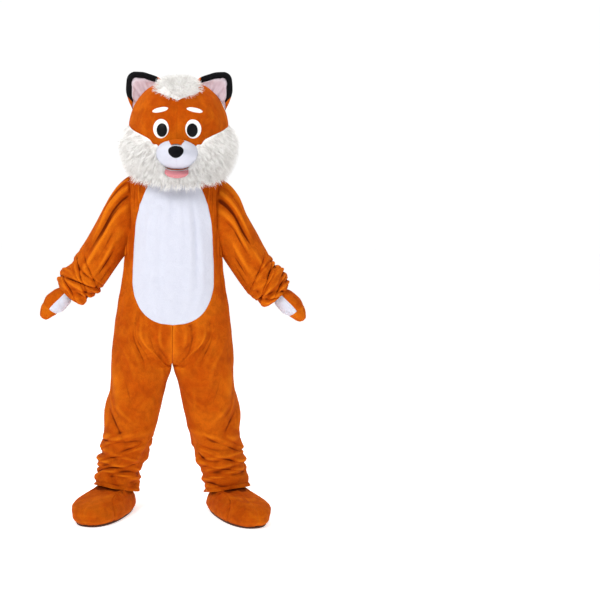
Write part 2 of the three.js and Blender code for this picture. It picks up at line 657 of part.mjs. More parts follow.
function cheekPoint(angle, v, isOuter) {
  const turn = radians(angle);
  const row = cheekAt(angle);
  const share = Math.min(1, v / CHEEK_SHELL_SHARE);
  const latitude = mix(cheekSeam(angle, -1), latitudeAt(turn, rimHeight(turn)), share);
  const full = row.puff * toCorner(clamp01(share / 0.28));
  const point = headOut(turn, latitude, isOuter ? full : -FOAM_CLOTH);
  const hang = clamp01((v - CHEEK_SHELL_SHARE) / (1 - CHEEK_SHELL_SHARE));
  const reach = row.tipR - (isOuter ? 0 : 16);
  const tip = vector(reach * Math.sin(turn), -reach * Math.cos(turn), row.tipZ);
  return point.lerp(tip, hang);
}

function cheekFur() {
  const angles = HEAD_COLUMNS.filter((angle) => angle <= CHEEK_END);
  const rows = [0, 0.07, 0.16, 0.28, 0.42, 0.56, 0.7, 1];
  const side = (isOuter) => (angle, v) => cheekPoint(angle, v, isOuter);
  return solidBetween(offCentre(side(true)), offCentre(side(false)), angles, rows);
}

function lipPanel() {
  const at = (out) => (share, v) => {
    const low = (v - LIP.from) / (LIP.to - LIP.from);
    const angle = LIP.turn * share * Math.sqrt(Math.max(0.02, 1 - low * low));
    const point = cheekPoint(Math.abs(angle), v * CHEEK_SHELL_SHARE, true);
    return vector(share < 0 ? -point.x : point.x, point.y - out, point.z);
  };
  return solidBetween(at(6 * SEAM + LIP.thick), at(6 * SEAM), spread(-1, 1, 6), spread(LIP.from, LIP.to, 4));
}

// Pieces that lie on the face, given by an outline in the front view

function facePatch({ x, z, half, high, tilt = 0 }, base, dome) {
  const at = (lift) => (angle, v) => {
    const [a, b] = [half * (1 - v) * Math.cos(angle), high * (1 - v) * Math.sin(angle)];
    const [c, s] = [Math.cos(radians(tilt)), Math.sin(radians(tilt))];
    return headFront(x + a * c + b * s, z - a * s + b * c, base + lift(v));
  };
  const around = spread(0, 2 * Math.PI, 16).slice(0, -1);
  return solidBetween(at(dome), at(() => 0), around, [0, 0.45, 1], true);
}

function snoutPoint(x, z, out) {
  const share = Math.hypot(x / SNOUT.half, (z - SNOUT.z) / SNOUT.high);
  const reach = SNOUT.reach * Math.max(0, 1 - share ** 1.7) ** 0.8;
  return headFront(x, z, 4 * SEAM).add(vector(0, -reach - out, 0));
}

function snout() {
  const place = (angle, v) => [SNOUT.half * (1 - v) * Math.cos(angle), SNOUT.z + SNOUT.high * (1 - v) * Math.sin(angle)];
  const front = (angle, v) => snoutPoint(...place(angle, v), 0);
  const back = (angle, v) => headFront(...place(angle, v), 4 * SEAM);
  const around = spread(0, 2 * Math.PI, 16).slice(0, -1);
  return solidBetween(front, back, around, [0, 0.03, 0.1, 0.2, 0.34, 0.5, 0.75, 1], true);
}

function nose() {
  const at = (dome) => (angle, v) => {
    const x = NOSE.half * (1 - v) * Math.cos(angle);
    const narrow = 1 + 0.18 * Math.sin(angle);
    const z = NOSE.z + NOSE.high * (1 - v) * Math.sin(angle);
    return snoutPoint(x * narrow, z, 10 * SEAM + dome * Math.sqrt(1 - (1 - v) ** 2));
  };
  const around = spread(0, 2 * Math.PI, 14).slice(0, -1);
  return solidBetween(at(NOSE.reach), at(0), around, [0, 0.12, 0.4, 1], true);
}

// The bridge lies on the upper side of the snout, so it is moved up and forward.
function bridge() {
  const at = (out) => (share, v) => {
    const x = BRIDGE.half * share;
    const up = Math.sqrt(v * v - (x / SNOUT.half) ** 2);
    return snoutPoint(x, SNOUT.z + SNOUT.high * up, 0).add(vector(0, -out, out * 1.6));
  };
  return solidBetween(at(SEAM + 2), at(SEAM), spread(-1, 1, 4), spread(BRIDGE.from, BRIDGE.to, 5));
}

function tuft() {
  const at = (isOuter) => (angle, v) => {
    const isBack = Math.sin(angle) > 0;
    const power = isBack ? TUFT.backPower : TUFT.frontPower;
    const along = Math.max(0, 1 - Math.abs(Math.cos(angle)) ** power) ** (1 / power);
    const x = TUFT.half * (1 - v) * Math.cos(angle);
    const y = TUFT.y + (1 - v) * along * (isBack ? TUFT.back : -TUFT.front);
    const turn = Math.atan2(x / HEAD.side, -y / (y < 0 ? HEAD.front : HEAD.back));
    const out = Math.hypot(x / HEAD.side, y / (y < 0 ? HEAD.front : HEAD.back));
    const latitude = Math.acos(clamp01(out) ** (HEAD_POWER / 2));
    const high = TUFT.edge + (TUFT.high - TUFT.edge) * Math.sqrt(1 - (1 - v) ** 2);
    return headOut(turn, latitude, isOuter ? SEAM + high : 7 * SEAM);
  };
  const around = spread(0, 2 * Math.PI, 16).slice(0, -1);
  return solidBetween(at(true), at(false), around, [0, 0.08, 0.2, 0.35, 0.55, 0.78, 1], true);
}

// Ears: a black back, a front band in three pieces and a sunk lining

const earAt = reader(EAR, "u");

// A place on the ear: u runs along the outline and v from the outline to the head.
function earPlace(u, v, y) {
  const edge = earAt(u);
  const lean = radians(mix(EAR_FEET.inner, EAR_FEET.outer, u));
  const across = Math.sin(lean) / HEAD.side;
  const up = Math.cos(lean) / HEAD.up;
  const level = 1 - (Math.abs(y) / (y < 0 ? HEAD.front : HEAD.back)) ** HEAD_POWER;
  const reach = SEAM + 0.2 + (level / (across ** HEAD_POWER + up ** HEAD_POWER)) ** (1 / HEAD_POWER);
  return vector(
    mix(edge.x, reach * Math.sin(lean), v),
    y,
    mix(edge.z, HEAD_MIDDLE.z + reach * Math.cos(lean), v),
  );
}

// The band's share of the way from the outline to the head. The way crosses the outline at a slant.
function bandShare(u) {
  const along = earPlace(u + 0.01, 0, EAR_PLANE).sub(earPlace(u - 0.01, 0, EAR_PLANE)).normalize();
  const way = earPlace(u, 1, EAR_PLANE).sub(earPlace(u, 0, EAR_PLANE));
  return Math.min(0.8, EAR_BAND / way.cross(along).length());
}

function earPiece(us, vs, front, back, toShare = (u, v) => v) {
  const face = (depth) => (u, v) => earPlace(u, toShare(u, v), EAR_PLANE + depth(u, v));
  return solidBetween(face(front), face(back), us, vs);
}

function earPieces() {
  const bulge = (u, v) => 26 * Math.sin(Math.PI * clamp01(u)) * Math.sin(Math.PI * Math.min(0.75, v) * 0.8);
  const hollow = (u, v) => 12 * Math.sin(Math.PI * clamp01(u)) * smooth(v * 1.6);
  const bandFront = (u, v) => -10 + 5 * (1 - bump(v - 0.5, 0.5));
  const bandBack = () => 4;
  const gap = 0.004;
  const onBand = (u, v) => v * bandShare(u);
  const inside = (u, v) => mix(bandShare(u) + 0.012, 1, v);
  const band = (us) => earPiece(us, [0, 0.3, 0.7, 1], bandFront, bandBack, onBand);
  const { from, to } = EAR_BLACK;
  return {
    ear_back: [COAL, earPiece(spread(0.02, 0.98, 11), [0, 0.12, 0.35, 0.65, 1], (u, v) => 8 + bulge(u, v), () => 4 + SEAM)],
    ear_band: [COAL, band(spread(from + gap, to - gap, 12))],
    ear_foot_inner: [RED_FOX, band(spread(0.02, from, 3))],
    ear_foot_outer: [RED_FOX, band(spread(to, 0.98, 3))],
    ear_lining: [
      EAR_LINING,
      earPiece(spread(0.05, 0.95, 10), spread(0, 1, 3), (u, v) => hollow(u, v) - 12, (u, v) => hollow(u, v) - 9, inside),
    ],
  };
}

// The costume

const costume = new THREE.Group();
costume.position.z = -HELD_HEIGHT;

function add(name, colour, geometry, parent = costume, mirrored = false, rough = 0.9) {
  const material = new THREE.MeshStandardMaterial({ color: colour, roughness: rough, metalness: 0 });
  const mesh = new THREE.Mesh(geometry, material);
  mesh.name = name;
  mesh.scale.x = mirrored ? -1 : 1;
  parent.add(mesh);
}

const head = new THREE.Group();
head.position.x = HEAD_MIDDLE.x;
head.rotation.z = -radians(FACE_TURN);
costume.add(head);

for (const side of ["left", "right"]) {
  const mirrored = side === "right";
  const onBody = (name, colour, geometry) => add(`${name}_${side}`, colour, geometry, costume, mirrored);
  onBody("suit_front", RED_FOX, suitPanel(true));
  onBody("suit_back", RED_FOX, suitPanel(false));
  onBody("sleeve", RED_FOX, sleeve());
  onBody("mitt_back", RED_FOX, mittPiece(-89.7, 89.7, 0, KNUCKLE - SEAM / 2, { around: 6, along: 5 }));
  onBody("mitt_palm", SNOW, mittPiece(90.3, 269.7, 0, KNUCKLE - SEAM / 2, { around: 6, along: 5 }));
  onBody("mitt_fingers", RED_FOX, mittPiece(0, 360, KNUCKLE + SEAM / 2, MITT_END, { around: 18, along: 5 }, true));

  const foot = new THREE.Group();
  foot.position.set((mirrored ? -1 : 1) * LEG[0].x, LEG[0].y, 0);
  foot.rotation.z = radians(mirrored ? -FOOT_TURN : FOOT_TURN);
  costume.add(foot);
  add(`foot_outer_${side}`, RED_FOX, footUpper(0, 180), foot, mirrored);
  add(`foot_inner_${side}`, RED_FOX, footUpper(180, 360), foot, mirrored);
  add(`foot_sole_${side}`, COAL, footSole(), foot, mirrored);

  const onHead = (name, colour, geometry, rough) => add(`${name}_${side}`, colour, geometry, head, mirrored, rough);
  onHead("head", RED_FOX, headHalf());
  onHead("cheek_fur", SNOW, cheekFur());
  onHead("eye_white", SNOW, facePatch(EYE, SEAM, () => EYE.thick));
  onHead("eye_pupil", COAL, facePatch(PUPIL, 2 * SEAM + EYE.thick, (v) => 1.5 + PUPIL.dome * Math.sqrt(1 - (1 - v) ** 2)), 0.2);
  onHead("brow", SNOW, facePatch(BROW, SEAM, () => BROW.thick));
  for (const [name, [colour, geometry]] of Object.entries(earPieces())) onHead(name, colour, geometry);
}

add("belly_panel", BELLY_WHITE, bellyPanel());
add("tail_body", RED_FOX, tailPiece(0, TAIL_TIP_START - SEAM / 2, 10));
add("tail_tip", SNOW, tailPiece(TAIL_TIP_START + SEAM / 2, TAIL[TAIL.length - 1].s, 6));
add("snout", SNOW, snout(), head);
add("snout_bridge", RED_FOX, bridge(), head);
add("nose", COAL, nose(), head, false, 0.4);
add("lip", LIP_PINK, lipPanel(), head);
add("crown_tuft", SNOW, tuft(), head);

export default costume;
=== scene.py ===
from math import cos, pi, radians, sin
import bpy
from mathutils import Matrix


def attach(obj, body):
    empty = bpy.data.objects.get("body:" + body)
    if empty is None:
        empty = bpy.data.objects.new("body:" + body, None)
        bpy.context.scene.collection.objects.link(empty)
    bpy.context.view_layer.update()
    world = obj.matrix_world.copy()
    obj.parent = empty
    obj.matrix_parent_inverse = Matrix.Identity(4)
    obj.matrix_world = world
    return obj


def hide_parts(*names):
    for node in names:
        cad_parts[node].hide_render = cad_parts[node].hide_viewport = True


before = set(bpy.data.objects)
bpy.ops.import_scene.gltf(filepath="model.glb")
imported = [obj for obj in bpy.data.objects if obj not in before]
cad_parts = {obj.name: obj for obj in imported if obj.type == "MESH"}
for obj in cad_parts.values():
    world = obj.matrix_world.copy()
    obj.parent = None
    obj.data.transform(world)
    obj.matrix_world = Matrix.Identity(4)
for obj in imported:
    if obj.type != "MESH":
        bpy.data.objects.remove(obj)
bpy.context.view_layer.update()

from types import SimpleNamespace

import bmesh
import bpy
import numpy as np
from mathutils import Vector

bl_info = {
    "name": "Plush fox costume",
    "version": (1, 0, 0),
    "blender": (4, 5, 0),
    "location": "View3D > Sidebar > Costume",
    "description": "Builds a plush fox costume with its fur, and a plain studio to look at it in",
    "category": "Add Mesh",
}

# Tables and sizes are millimetres and heights above the floor. Objects are in metres, and their
# origin is at the shoulder line.
HELD_HEIGHT = 1440

CLOTH = 3.0  # the thickness of the cloth where an edge is turned under
NECK_HEIGHT = 1512
SHOULDER_HEIGHT = 1466
ARMPIT_HEIGHT = 1122
RISE_TOP = 800
CROTCH_HEIGHT = 642
GATHER_TOP = 322
HEM_HEIGHT = 91.6
HEM_WIDTH = 16
HEM_TILT = 24
HEM_RAISED_AT = 0.36  # the place round the leg where the hem is highest
ARMHOLE_REACH = 0.15
ARMHOLE_MIDDLE = (SHOULDER_HEIGHT + ARMPIT_HEIGHT) / 2
ARMHOLE_HALF = (SHOULDER_HEIGHT - ARMPIT_HEIGHT) / 2
TRUNK_POWER = 2.4
ARM_LENGTH = 424
# The ways round the parts, which turn a place round them into millimetres: half of the trunk's, and all
# of a leg's, a sleeve's at its top and at its gathers, and a mitt's.
GIRTH = 760
LEG_GIRTH = 660
SLEEVE_GIRTH = 580
CUFF_GIRTH = 560
MITT_GIRTH = 260
FOOT_TURN = 19
TAIL_SWING = 0.3
HEAD_X, HEAD_Z = 18, 1660  # the head is held a little to the costume's left
FACE_TURN = 2.2
HEAD_POWER = 2.3


# Small tools

class Profile:
    """A table of named columns, read smoothly between its rows by its first column."""

    def __init__(self, names, *rows):
        data = np.array(rows, float).T
        self.at = data[0]
        self.columns = dict(zip(names.split()[1:], data[1:]))

    def __call__(self, value):
        value = np.asarray(value, float)
        i = np.clip(np.searchsorted(self.at, value) - 1, 0, len(self.at) - 2)
        step = np.diff(self.at)
        t = np.clip((value - self.at[i]) / step[i], 0, 1)
        read = {}
        for name, column in self.columns.items():
            slope = np.diff(column) / step
            before, after = slope[:-1], slope[1:]
            total = np.where(before * after > 0, before + after, 1)
            middle = np.where(before * after > 0, 2 * before * after / total, 0)
            tangent = np.concatenate([slope[:1], middle, slope[-1:]])
            read[name] = (
                column[i] * (1 + 2 * t) * (1 - t) ** 2
                + column[i + 1] * t * t * (3 - 2 * t)
                + step[i] * (tangent[i] * t * (1 - t) ** 2 - tangent[i + 1] * t * t * (1 - t))
            )
        return SimpleNamespace(**read)


def rows(names, *values):
    """A short table as a list of records with named columns."""
    return [SimpleNamespace(**dict(zip(names.split(), row))) for row in values]


def vec(x, y, z):
    """Points or vectors from their three parts, each a number or an array."""
    return np.stack(np.broadcast_arrays(x, y, z), axis=-1).astype(float)


def signed_power(value, power):
    """The value raised to a power, with its sign kept."""
    return np.sign(value) * np.abs(value) ** power


def smooth(share):
    """Eases a share in and out, and holds it between 0 and 1."""
    s = np.clip(share, 0, 1)
    return s * s * (3 - 2 * s)


def bump(distance, half):
    """1 in the middle, fading away on both sides."""
    return np.exp(-((distance / half) ** 2))


def unit(vectors):
    return vectors / np.maximum(np.linalg.norm(vectors, axis=-1, keepdims=True), 1e-9)


def wrap(turn):
    """A difference between two places round a closed form, from -0.5 to 0.5."""
    return turn - np.round(turn)


def all_round(count):
    """Angles all the way round a form, one for each column of a grid."""
    return np.radians(np.linspace(0, 360, count, endpoint=False))[:, None]


def along(*stretches):
    """Rows made of stretches of (start, end, steps), each starting where the last one ended."""
    parts = [np.linspace(start, end, steps, endpoint=False) for start, end, steps in stretches]
    return np.concatenate(parts + [[stretches[-1][1]]])[None, :]


def ripple(points, size, seed):
    """A soft unevenness from -1 to 1 over the points, about size millimetres from hill to hill."""
    rng = np.random.default_rng(seed)
    total = 0
    for _ in range(7):
        direction = unit(rng.normal(size=3)) * rng.uniform(0.6, 1.5)
        total = total + np.sin(points @ direction * (2 * pi / size) + rng.uniform(0, 2 * pi))
    return total / 3.5


def normals_of(points, outward, loop=False):
    """Unit normals of a grid of points, turned to the same side as the vectors in outward."""
    if loop:
        du = np.roll(points, -1, axis=0) - np.roll(points, 1, axis=0)
    else:
        du = np.gradient(points, axis=0)
    dv = np.gradient(points, axis=1)
    normal = unit(np.cross(du, dv))
    turn = np.sign(np.sum(normal * outward, axis=-1).sum())
    return normal * (turn if turn else 1)


def turned_under(points, outward, depth, loop=False):
    """The grid with its last rows repeated inside it, so that its edge shows as folded cloth."""
    normal = normals_of(points, outward, loop)
    edge, side = points[:, -1], normal[:, -1]
    down = unit(edge - points[:, -2])
    half = CLOTH / 2
    turns = [radians(a) for a in (40, 80, 120, 150, 180)]
    roll = [edge + down * half * sin(a) - side * half * (1 - cos(a)) for a in turns]
    back = [points[:, -k] - normal[:, -k] * CLOTH for k in range(2, depth + 2)]
    return np.concatenate([points, np.stack(roll + back, axis=1)], axis=1)


def lengthened(outward, points):
    """The outward vectors, with zeros for the rows that the grid of points has more."""
    rows_more = points.shape[1] - outward.shape[1]
    return np.concatenate([outward, np.zeros((len(points), rows_more, 3))], axis=1)


def with_ends(grid):
    """The grid with its first and its last column doubled."""
    return np.concatenate([grid[:1], grid, grid[-1:]])


def turned_to(points, degrees, x, y):
    """Turns points about the upright line through 0, 0 and moves that line to x, y."""
    c, s = cos(radians(degrees)), sin(radians(degrees))
    before_x, before_y = points[:, 0].copy(), points[:, 1].copy()
    points[:, 0] = x + before_x * c - before_y * s
    points[:, 1] = y + before_x * s + before_y * c
    return points


# Blender objects from grids

def object_from(name, points, faces):
    """A smooth object from points in millimetres and the corners of its faces."""
    mesh = bpy.data.meshes.new(name)
    mesh.from_pydata((points / 1000).tolist(), [], faces.tolist())
    mesh.validate()
    mesh.shade_smooth()
    obj = bpy.data.objects.new(name, mesh)
    bpy.context.scene.collection.objects.link(obj)
    return obj


def faces_of(columns, count, loop):
    """The corners of the faces of a grid, as numbers of its points."""
    i = np.arange(columns if loop else columns - 1)[:, None]
    j = np.arange(count - 1)[None, :]
    after = (i + 1) % columns
    corners = [i * count + j, after * count + j, after * count + j + 1, i * count + j + 1]
    return np.stack(np.broadcast_arrays(*corners), axis=-1).reshape(-1, 4)


def grid_object(name, points, outward, loop=False, mirrored=False, place=None):
    """A smooth surface over a grid of points, its faces pointing the same way as outward."""
    faces = faces_of(points.shape[0], points.shape[1], loop)
    du = (np.roll(points, -1, axis=0) if loop else points[1:])[: points.shape[0] - 1] - points[:-1]
    dv = points[:-1, 1:] - points[:-1, :-1]
    facing = np.sum(np.cross(du[:, :-1], dv) * outward[:-1, :-1], axis=-1).sum()
    if facing < 0:
        faces = faces[:, ::-1]
    flat = points.reshape(-1, 3).copy()
    if place is not None:
        flat = place(flat)
    if mirrored:
        flat[:, 0] *= -1
        faces = faces[:, ::-1]
    flat[:, 2] -= HELD_HEIGHT
    obj = object_from(name, flat, faces)
    weld(obj)
    mark_fold_shading(obj)
    return obj


def weld(obj, distance=2e-5):
    """Joins points that coincide, at poles and where a loop closes."""
    work = bmesh.new()
    work.from_mesh(obj.data)
    bmesh.ops.remove_doubles(work, verts=work.verts, dist=distance)
    bmesh.ops.dissolve_degenerate(work, dist=distance / 2, edges=work.edges)
    work.to_mesh(obj.data)
    work.free()
    obj.data.shade_smooth()


def mark_fold_shading(obj, reach=0.02, full=0.0055):
    """Stores how far each point stands above (1) or below (-1) the cloth around it, for the painted
    highlight on ridges and the painted shade in valleys of its colour.
    """
    mesh = obj.data
    count = len(mesh.vertices)
    places, normals = np.empty(count * 3), np.empty(count * 3)
    mesh.vertices.foreach_get("co", places)
    mesh.vertex_normals.foreach_get("vector", normals)
    places, normals = places.reshape(-1, 3), normals.reshape(-1, 3)
    ends = np.empty(len(mesh.edges) * 2, int)
    mesh.edges.foreach_get("vertices", ends)
    first, second = ends.reshape(-1, 2).T
    step = np.linalg.norm(places[first] - places[second], axis=1).mean()
    share = np.bincount(first, minlength=count) + np.bincount(second, minlength=count)
    soft = places.copy()
    for _ in range(int(np.clip((reach / step) ** 2, 4, 40))):
        total = np.empty_like(soft)
        for axis in range(3):
            total[:, axis] = (
                np.bincount(first, soft[second, axis], count) + np.bincount(second, soft[first, axis], count)
            )
        soft = 0.5 * soft + 0.5 * total / np.maximum(share, 1)[:, None]
    height = np.sum((places - soft) * normals, axis=1)
    layer = mesh.attributes.new("fold", "FLOAT", "POINT")
    layer.data.foreach_set("value", np.clip(height / full, -1, 1))


def declare(obj, nodes, material):
    """Finishes a piece: what it stands for, what it moves with and what it is made of."""
    obj.data.materials.clear()
    obj.data.materials.append(material)
    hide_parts(*nodes)
    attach(obj, "root")
    return obj


# Materials

def linear(code):
    """A colour written as in sRGB, such as c65a12, made linear."""
    parts = [int(code[i : i + 2], 16) / 255 for i in (0, 2, 4)]
    return [c / 12.92 if c <= 0.04045 else ((c + 0.055) / 1.055) ** 2.4 for c in parts] + [1]


def add_node(tree, kind, settings=None, links=None, **values):
    """Adds a node with its settings, its input values by name, and its links from other sockets."""
    node = tree.nodes.new(kind)
    for key, value in (settings or {}).items():
        setattr(node, key, value)
    for key, value in values.items():
        node.inputs[key.replace("_", " ")].default_value = value
    for key, source in (links or {}).items():
        tree.links.new(source, node.inputs[key])
    return node


def feed(tree, socket, source):
    """Links an input to another node's output, or sets it to a value."""
    if isinstance(source, bpy.types.NodeSocket):
        tree.links.new(source, socket)
    else:
        socket.default_value = source


def start_material(name):
    """A new empty material, its node tree and its place on the object."""
    material = bpy.data.materials.new(name)
    material.use_nodes = True
    tree = material.node_tree
    tree.nodes.clear()
    place = tree.nodes.new("ShaderNodeTexCoord").outputs["Object"]
    return material, tree, place


def finish_material(tree, colour, bump_height=None, strength=0.3, depth=0.001, **settings):
    shader = tree.nodes.new("ShaderNodeBsdfPrincipled")
    for key, value in settings.items():
        shader.inputs[key.replace("_", " ")].default_value = value
    feed(tree, shader.inputs["Base Color"], colour)
    if bump_height is not None:
        relief = add_node(
            tree, "ShaderNodeBump", links={"Height": bump_height}, Strength=strength, Distance=depth,
        )
        tree.links.new(relief.outputs["Normal"], shader.inputs["Normal"])
    output = tree.nodes.new("ShaderNodeOutputMaterial")
    tree.links.new(shader.outputs["BSDF"], output.inputs["Surface"])


def noise(tree, place, size_mm, detail=2.0, rough=0.55, distort=0.0):
    """Cloudy noise whose patches are about size_mm across."""
    return add_node(
        tree, "ShaderNodeTexNoise", links={"Vector": place},
        Scale=1000 / (2 * size_mm), Detail=detail, Roughness=rough, Distortion=distort,
    ).outputs["Fac"]


def mixed(tree, factor, first, second):
    """Mixes two colours, each a value or an output."""
    node = add_node(tree, "ShaderNodeMix", {"data_type": "RGBA"})
    for index, source in ((0, factor), (6, first), (7, second)):
        feed(tree, node.inputs[index], source)
    return node.outputs[2]


def spread_out(tree, value, low, high):
    """Stretches a value so that low becomes 0 and high becomes 1."""
    return add_node(
        tree, "ShaderNodeMapRange", {"interpolation_type": "SMOOTHSTEP"}, {"Value": value},
        From_Min=low, From_Max=high,
    ).outputs["Result"]


def calculated(tree, operation, first, second):
    """The result of a sum on two values or outputs."""
    node = add_node(tree, "ShaderNodeMath", {"operation": operation})
    for index, source in enumerate((first, second)):
        feed(tree, node.inputs[index], source)
    return node.outputs[0]


def tinted(tree, shade, colour, where, strength):
    """Lays a colour over a shade where a value is high, at most as strongly as it says."""
    return mixed(tree, calculated(tree, "MULTIPLY", where, strength), shade, linear(colour))


def plush(name, base, light_tone_and_highlight, dark_tone_and_shade, pile=1.6, mottle=1.0, sheen=0.35, folds=1.0):
    """Short brushed pile: it lies over in patches, with a painted highlight on the ridges of its folds and
    painted shade in their valleys, as strong as folds says.
    """
    material, tree, place = start_material(name)
    fold = add_node(tree, "ShaderNodeAttribute", {"attribute_name": "fold"}).outputs["Fac"]
    broad = spread_out(tree, noise(tree, place, 60, 4, 0.6, 0.8), 0.36, 0.68)
    brushed = spread_out(tree, noise(tree, place, 16, 3, 0.6, 0.5), 0.36, 0.68)
    grain = noise(tree, place, pile, 2, 0.6)
    shade = tinted(tree, linear(base), light_tone_and_highlight, broad, 0.5 * mottle)
    shade = tinted(tree, shade, dark_tone_and_shade, brushed, 0.3 * mottle)
    # Painted light: the fold heights lighten the ridges as a painted highlight and darken the valleys as
    # painted shade.
    shade = tinted(tree, shade, light_tone_and_highlight, spread_out(tree, fold, 0.05, 0.8), 0.85 * folds)
    shade = tinted(tree, shade, dark_tone_and_shade, spread_out(tree, fold, -0.03, -0.6), folds)
    shade = tinted(tree, shade, dark_tone_and_shade, spread_out(tree, grain, 0.3, 0.75), 0.22)
    height = calculated(tree, "ADD", grain, calculated(tree, "MULTIPLY", brushed, 0.9))
    finish_material(
        tree, shade, height, 0.55, 0.0016, Roughness=0.92, Sheen_Weight=sheen, Sheen_Roughness=0.45,
        Sheen_Tint=linear(light_tone_and_highlight), Specular_IOR_Level=0.06,
    )
    return material


def fur(name, base, shadow):
    """Strands of long fur: each is a little lighter or darker than the next, and matt, with a faint glow in
    its own colour that is painted light lifting its shade.
    """
    material, tree, place = start_material(name)
    clumps = spread_out(tree, noise(tree, place, 12, 3), 0.35, 0.7)
    shade = tinted(tree, linear(base), shadow, clumps, 0.5)
    # The faint emission is painted light: it lifts the shade between the strands.
    finish_material(
        tree, shade, None, Roughness=0.85, Sheen_Weight=0.25, Specular_IOR_Level=0.2,
        Emission_Color=linear(base), Emission_Strength=0.05,
    )
    return material


def felt(name, base, shadow):
    """Pressed wool: flat, matt, with fine fibres."""
    material, tree, place = start_material(name)
    fibres = noise(tree, place, 1.2, 4, 0.7, 1.5)
    shade = tinted(tree, linear(base), shadow, fibres, 0.25)
    finish_material(tree, shade, fibres, 0.3, 0.0006, Roughness=0.95, Sheen_Weight=0.15)
    return material


def gloss(name, base, worn):
    """Moulded resin with a soft shine, a little paler where it is worn."""
    material, tree, place = start_material(name)
    wear = noise(tree, place, 6, 3)
    shade = mixed(tree, wear, linear(base), linear(worn))
    finish_material(tree, shade, None, Roughness=0.42, Specular_IOR_Level=0.12)
    return material


def rubber(name, base, dust):
    """Soling rubber with a fine tread grain, dusty on its high spots."""
    material, tree, place = start_material(name)
    grain = noise(tree, place, 2.5, 3)
    shade = tinted(tree, linear(base), dust, grain, 0.4)
    finish_material(tree, shade, grain, 0.5, 0.0008, Roughness=0.8)
    return material


def paper(name):
    """White studio paper: matt, with a glow of its own that keeps the floor white up to its edge."""
    material, tree, place = start_material(name)
    tone = mixed(tree, noise(tree, place, 900), linear("f6f6f6"), linear("f3f3f3"))
    finish_material(
        tree, tone, None, Roughness=0.95, Specular_IOR_Level=0.0, Emission_Color=linear("ffffff"),
        Emission_Strength=0.56,
    )
    return material


# How each finish is made: its maker, the material's name, its colours and its other values. A plush's
# lighter and darker colours give its random tone and also its painted highlight on fold ridges and painted
# shade in fold valleys.
FINISHES = {
    "orange": (plush, "Short orange plush", "bb4d03", "e67a11", "641f00", 1.6, 0.75, 0.22),
    "white": (plush, "Short white plush", "d4d6e2", "e4e5ee", "b2b6ca", 1.4, 0.2, 0.15, 0.6),
    "black": (plush, "Short black plush", "101012", "1d1d20", "060607", 1.6, 0.8, 0.15),
    "lining": (plush, "Pale ear lining", "d6c4cd", "e6dae0", "b9a3ae", 1.2, 0.8, 0.1),
    "nose": (plush, "Dense black pile", "0c0c0e", "16161a", "050506", 0.9, 0.6, 0.12),
    "fur": (fur, "Long white fur", "f8f7f5", "bdb8b3"),
    "felt": (felt, "White felt", "f6f6f4", "dcdcd8"),
    "pink": (felt, "Pink felt", "cf8287", "b8686f"),
    "gloss": (gloss, "Black resin", "08080a", "0c0c0e"),
    "sole": (rubber, "Brown soling rubber", "4a2411", "6e4a33"),
    "paper": (paper, "Studio paper"),
}
MATERIALS = {}


def material_of(finish):
    """The material of a finish, made when it is first asked for."""
    if finish not in MATERIALS:
        maker, *values = FINISHES[finish]
        MATERIALS[finish] = maker(*values)
    return MATERIALS[finish]


# The suit's body

TRUNK = Profile(
    "z half front back",
    (600, 266, 150, 152), (700, 262, 158, 166), (800, 256, 160, 172), (900, 244, 158, 164),
    (1000, 229, 154, 152), (1122, 214, 148, 144), (1250, 206, 140, 140), (1360, 203, 126, 130),
    (1430, 200, 106, 114), (1466, 188, 88, 98), (1488, 138, 74, 84), (1512, 78, 60, 68),
)
LEG = Profile(
    "z x y half deep",
    (91.6, 245, 14, 102, 104), (130, 241, 13, 97, 100), (170, 235, 13, 90, 97), (230, 214, 11, 99, 104),
    (330, 190, 8, 109, 113), (426, 173, 4, 118, 123), (557, 149, 2, 122, 138),
    (642, 135, 0, 132, 148), (800, 134, 0, 132, 156),
)
BELLY = Profile(
    "z half",
    (834, 0), (840, 52), (856, 92), (883, 126), (918, 150), (960, 167), (1010, 175), (1122, 171),
    (1238, 163), (1330, 147), (1400, 122), (1466, 84), (1512, 60),
)
BELLY_BOTTOM = 834

# Rolls of gathered cloth round a leg: height, how far they stand out, half their height, how much
# lower they lie on the inner side, the side that they are fullest on, and how much they sag over.
LEG_ROLLS = rows(
    "z bulge half drop fullest sag",
    (166, 15, 16, 18, 0.9, 0.35),
    (206, 15, 17, 20, 0.5, 0.35),
    (254, 13, 21, 24, 0.25, 0.35),
    (306, 7, 26, 28, 0.2, 0.2),
)
# Creases round a leg: height, place, half length round, half height, depth, and how much they lean.
LEG_CREASES = rows(
    "z t long half deep lean",
    (186, 0.30, 120, 4, 7, 14), (188, 0.72, 110, 4, 6, -12), (229, 0.36, 130, 5, 8, 20),
    (232, 0.78, 120, 5, 7, -18), (276, 0.42, 120, 6, 8, 26), (280, 0.66, 100, 6, 6, -24),
    (150, 0.20, 70, 4, 5, 8), (204, 0.08, 60, 4, 5, -10), (252, 0.16, 60, 5, 5, -16),
    (322, 0.38, 80, 8, 6, 30), (356, 0.44, 70, 10, 6, 34),
)
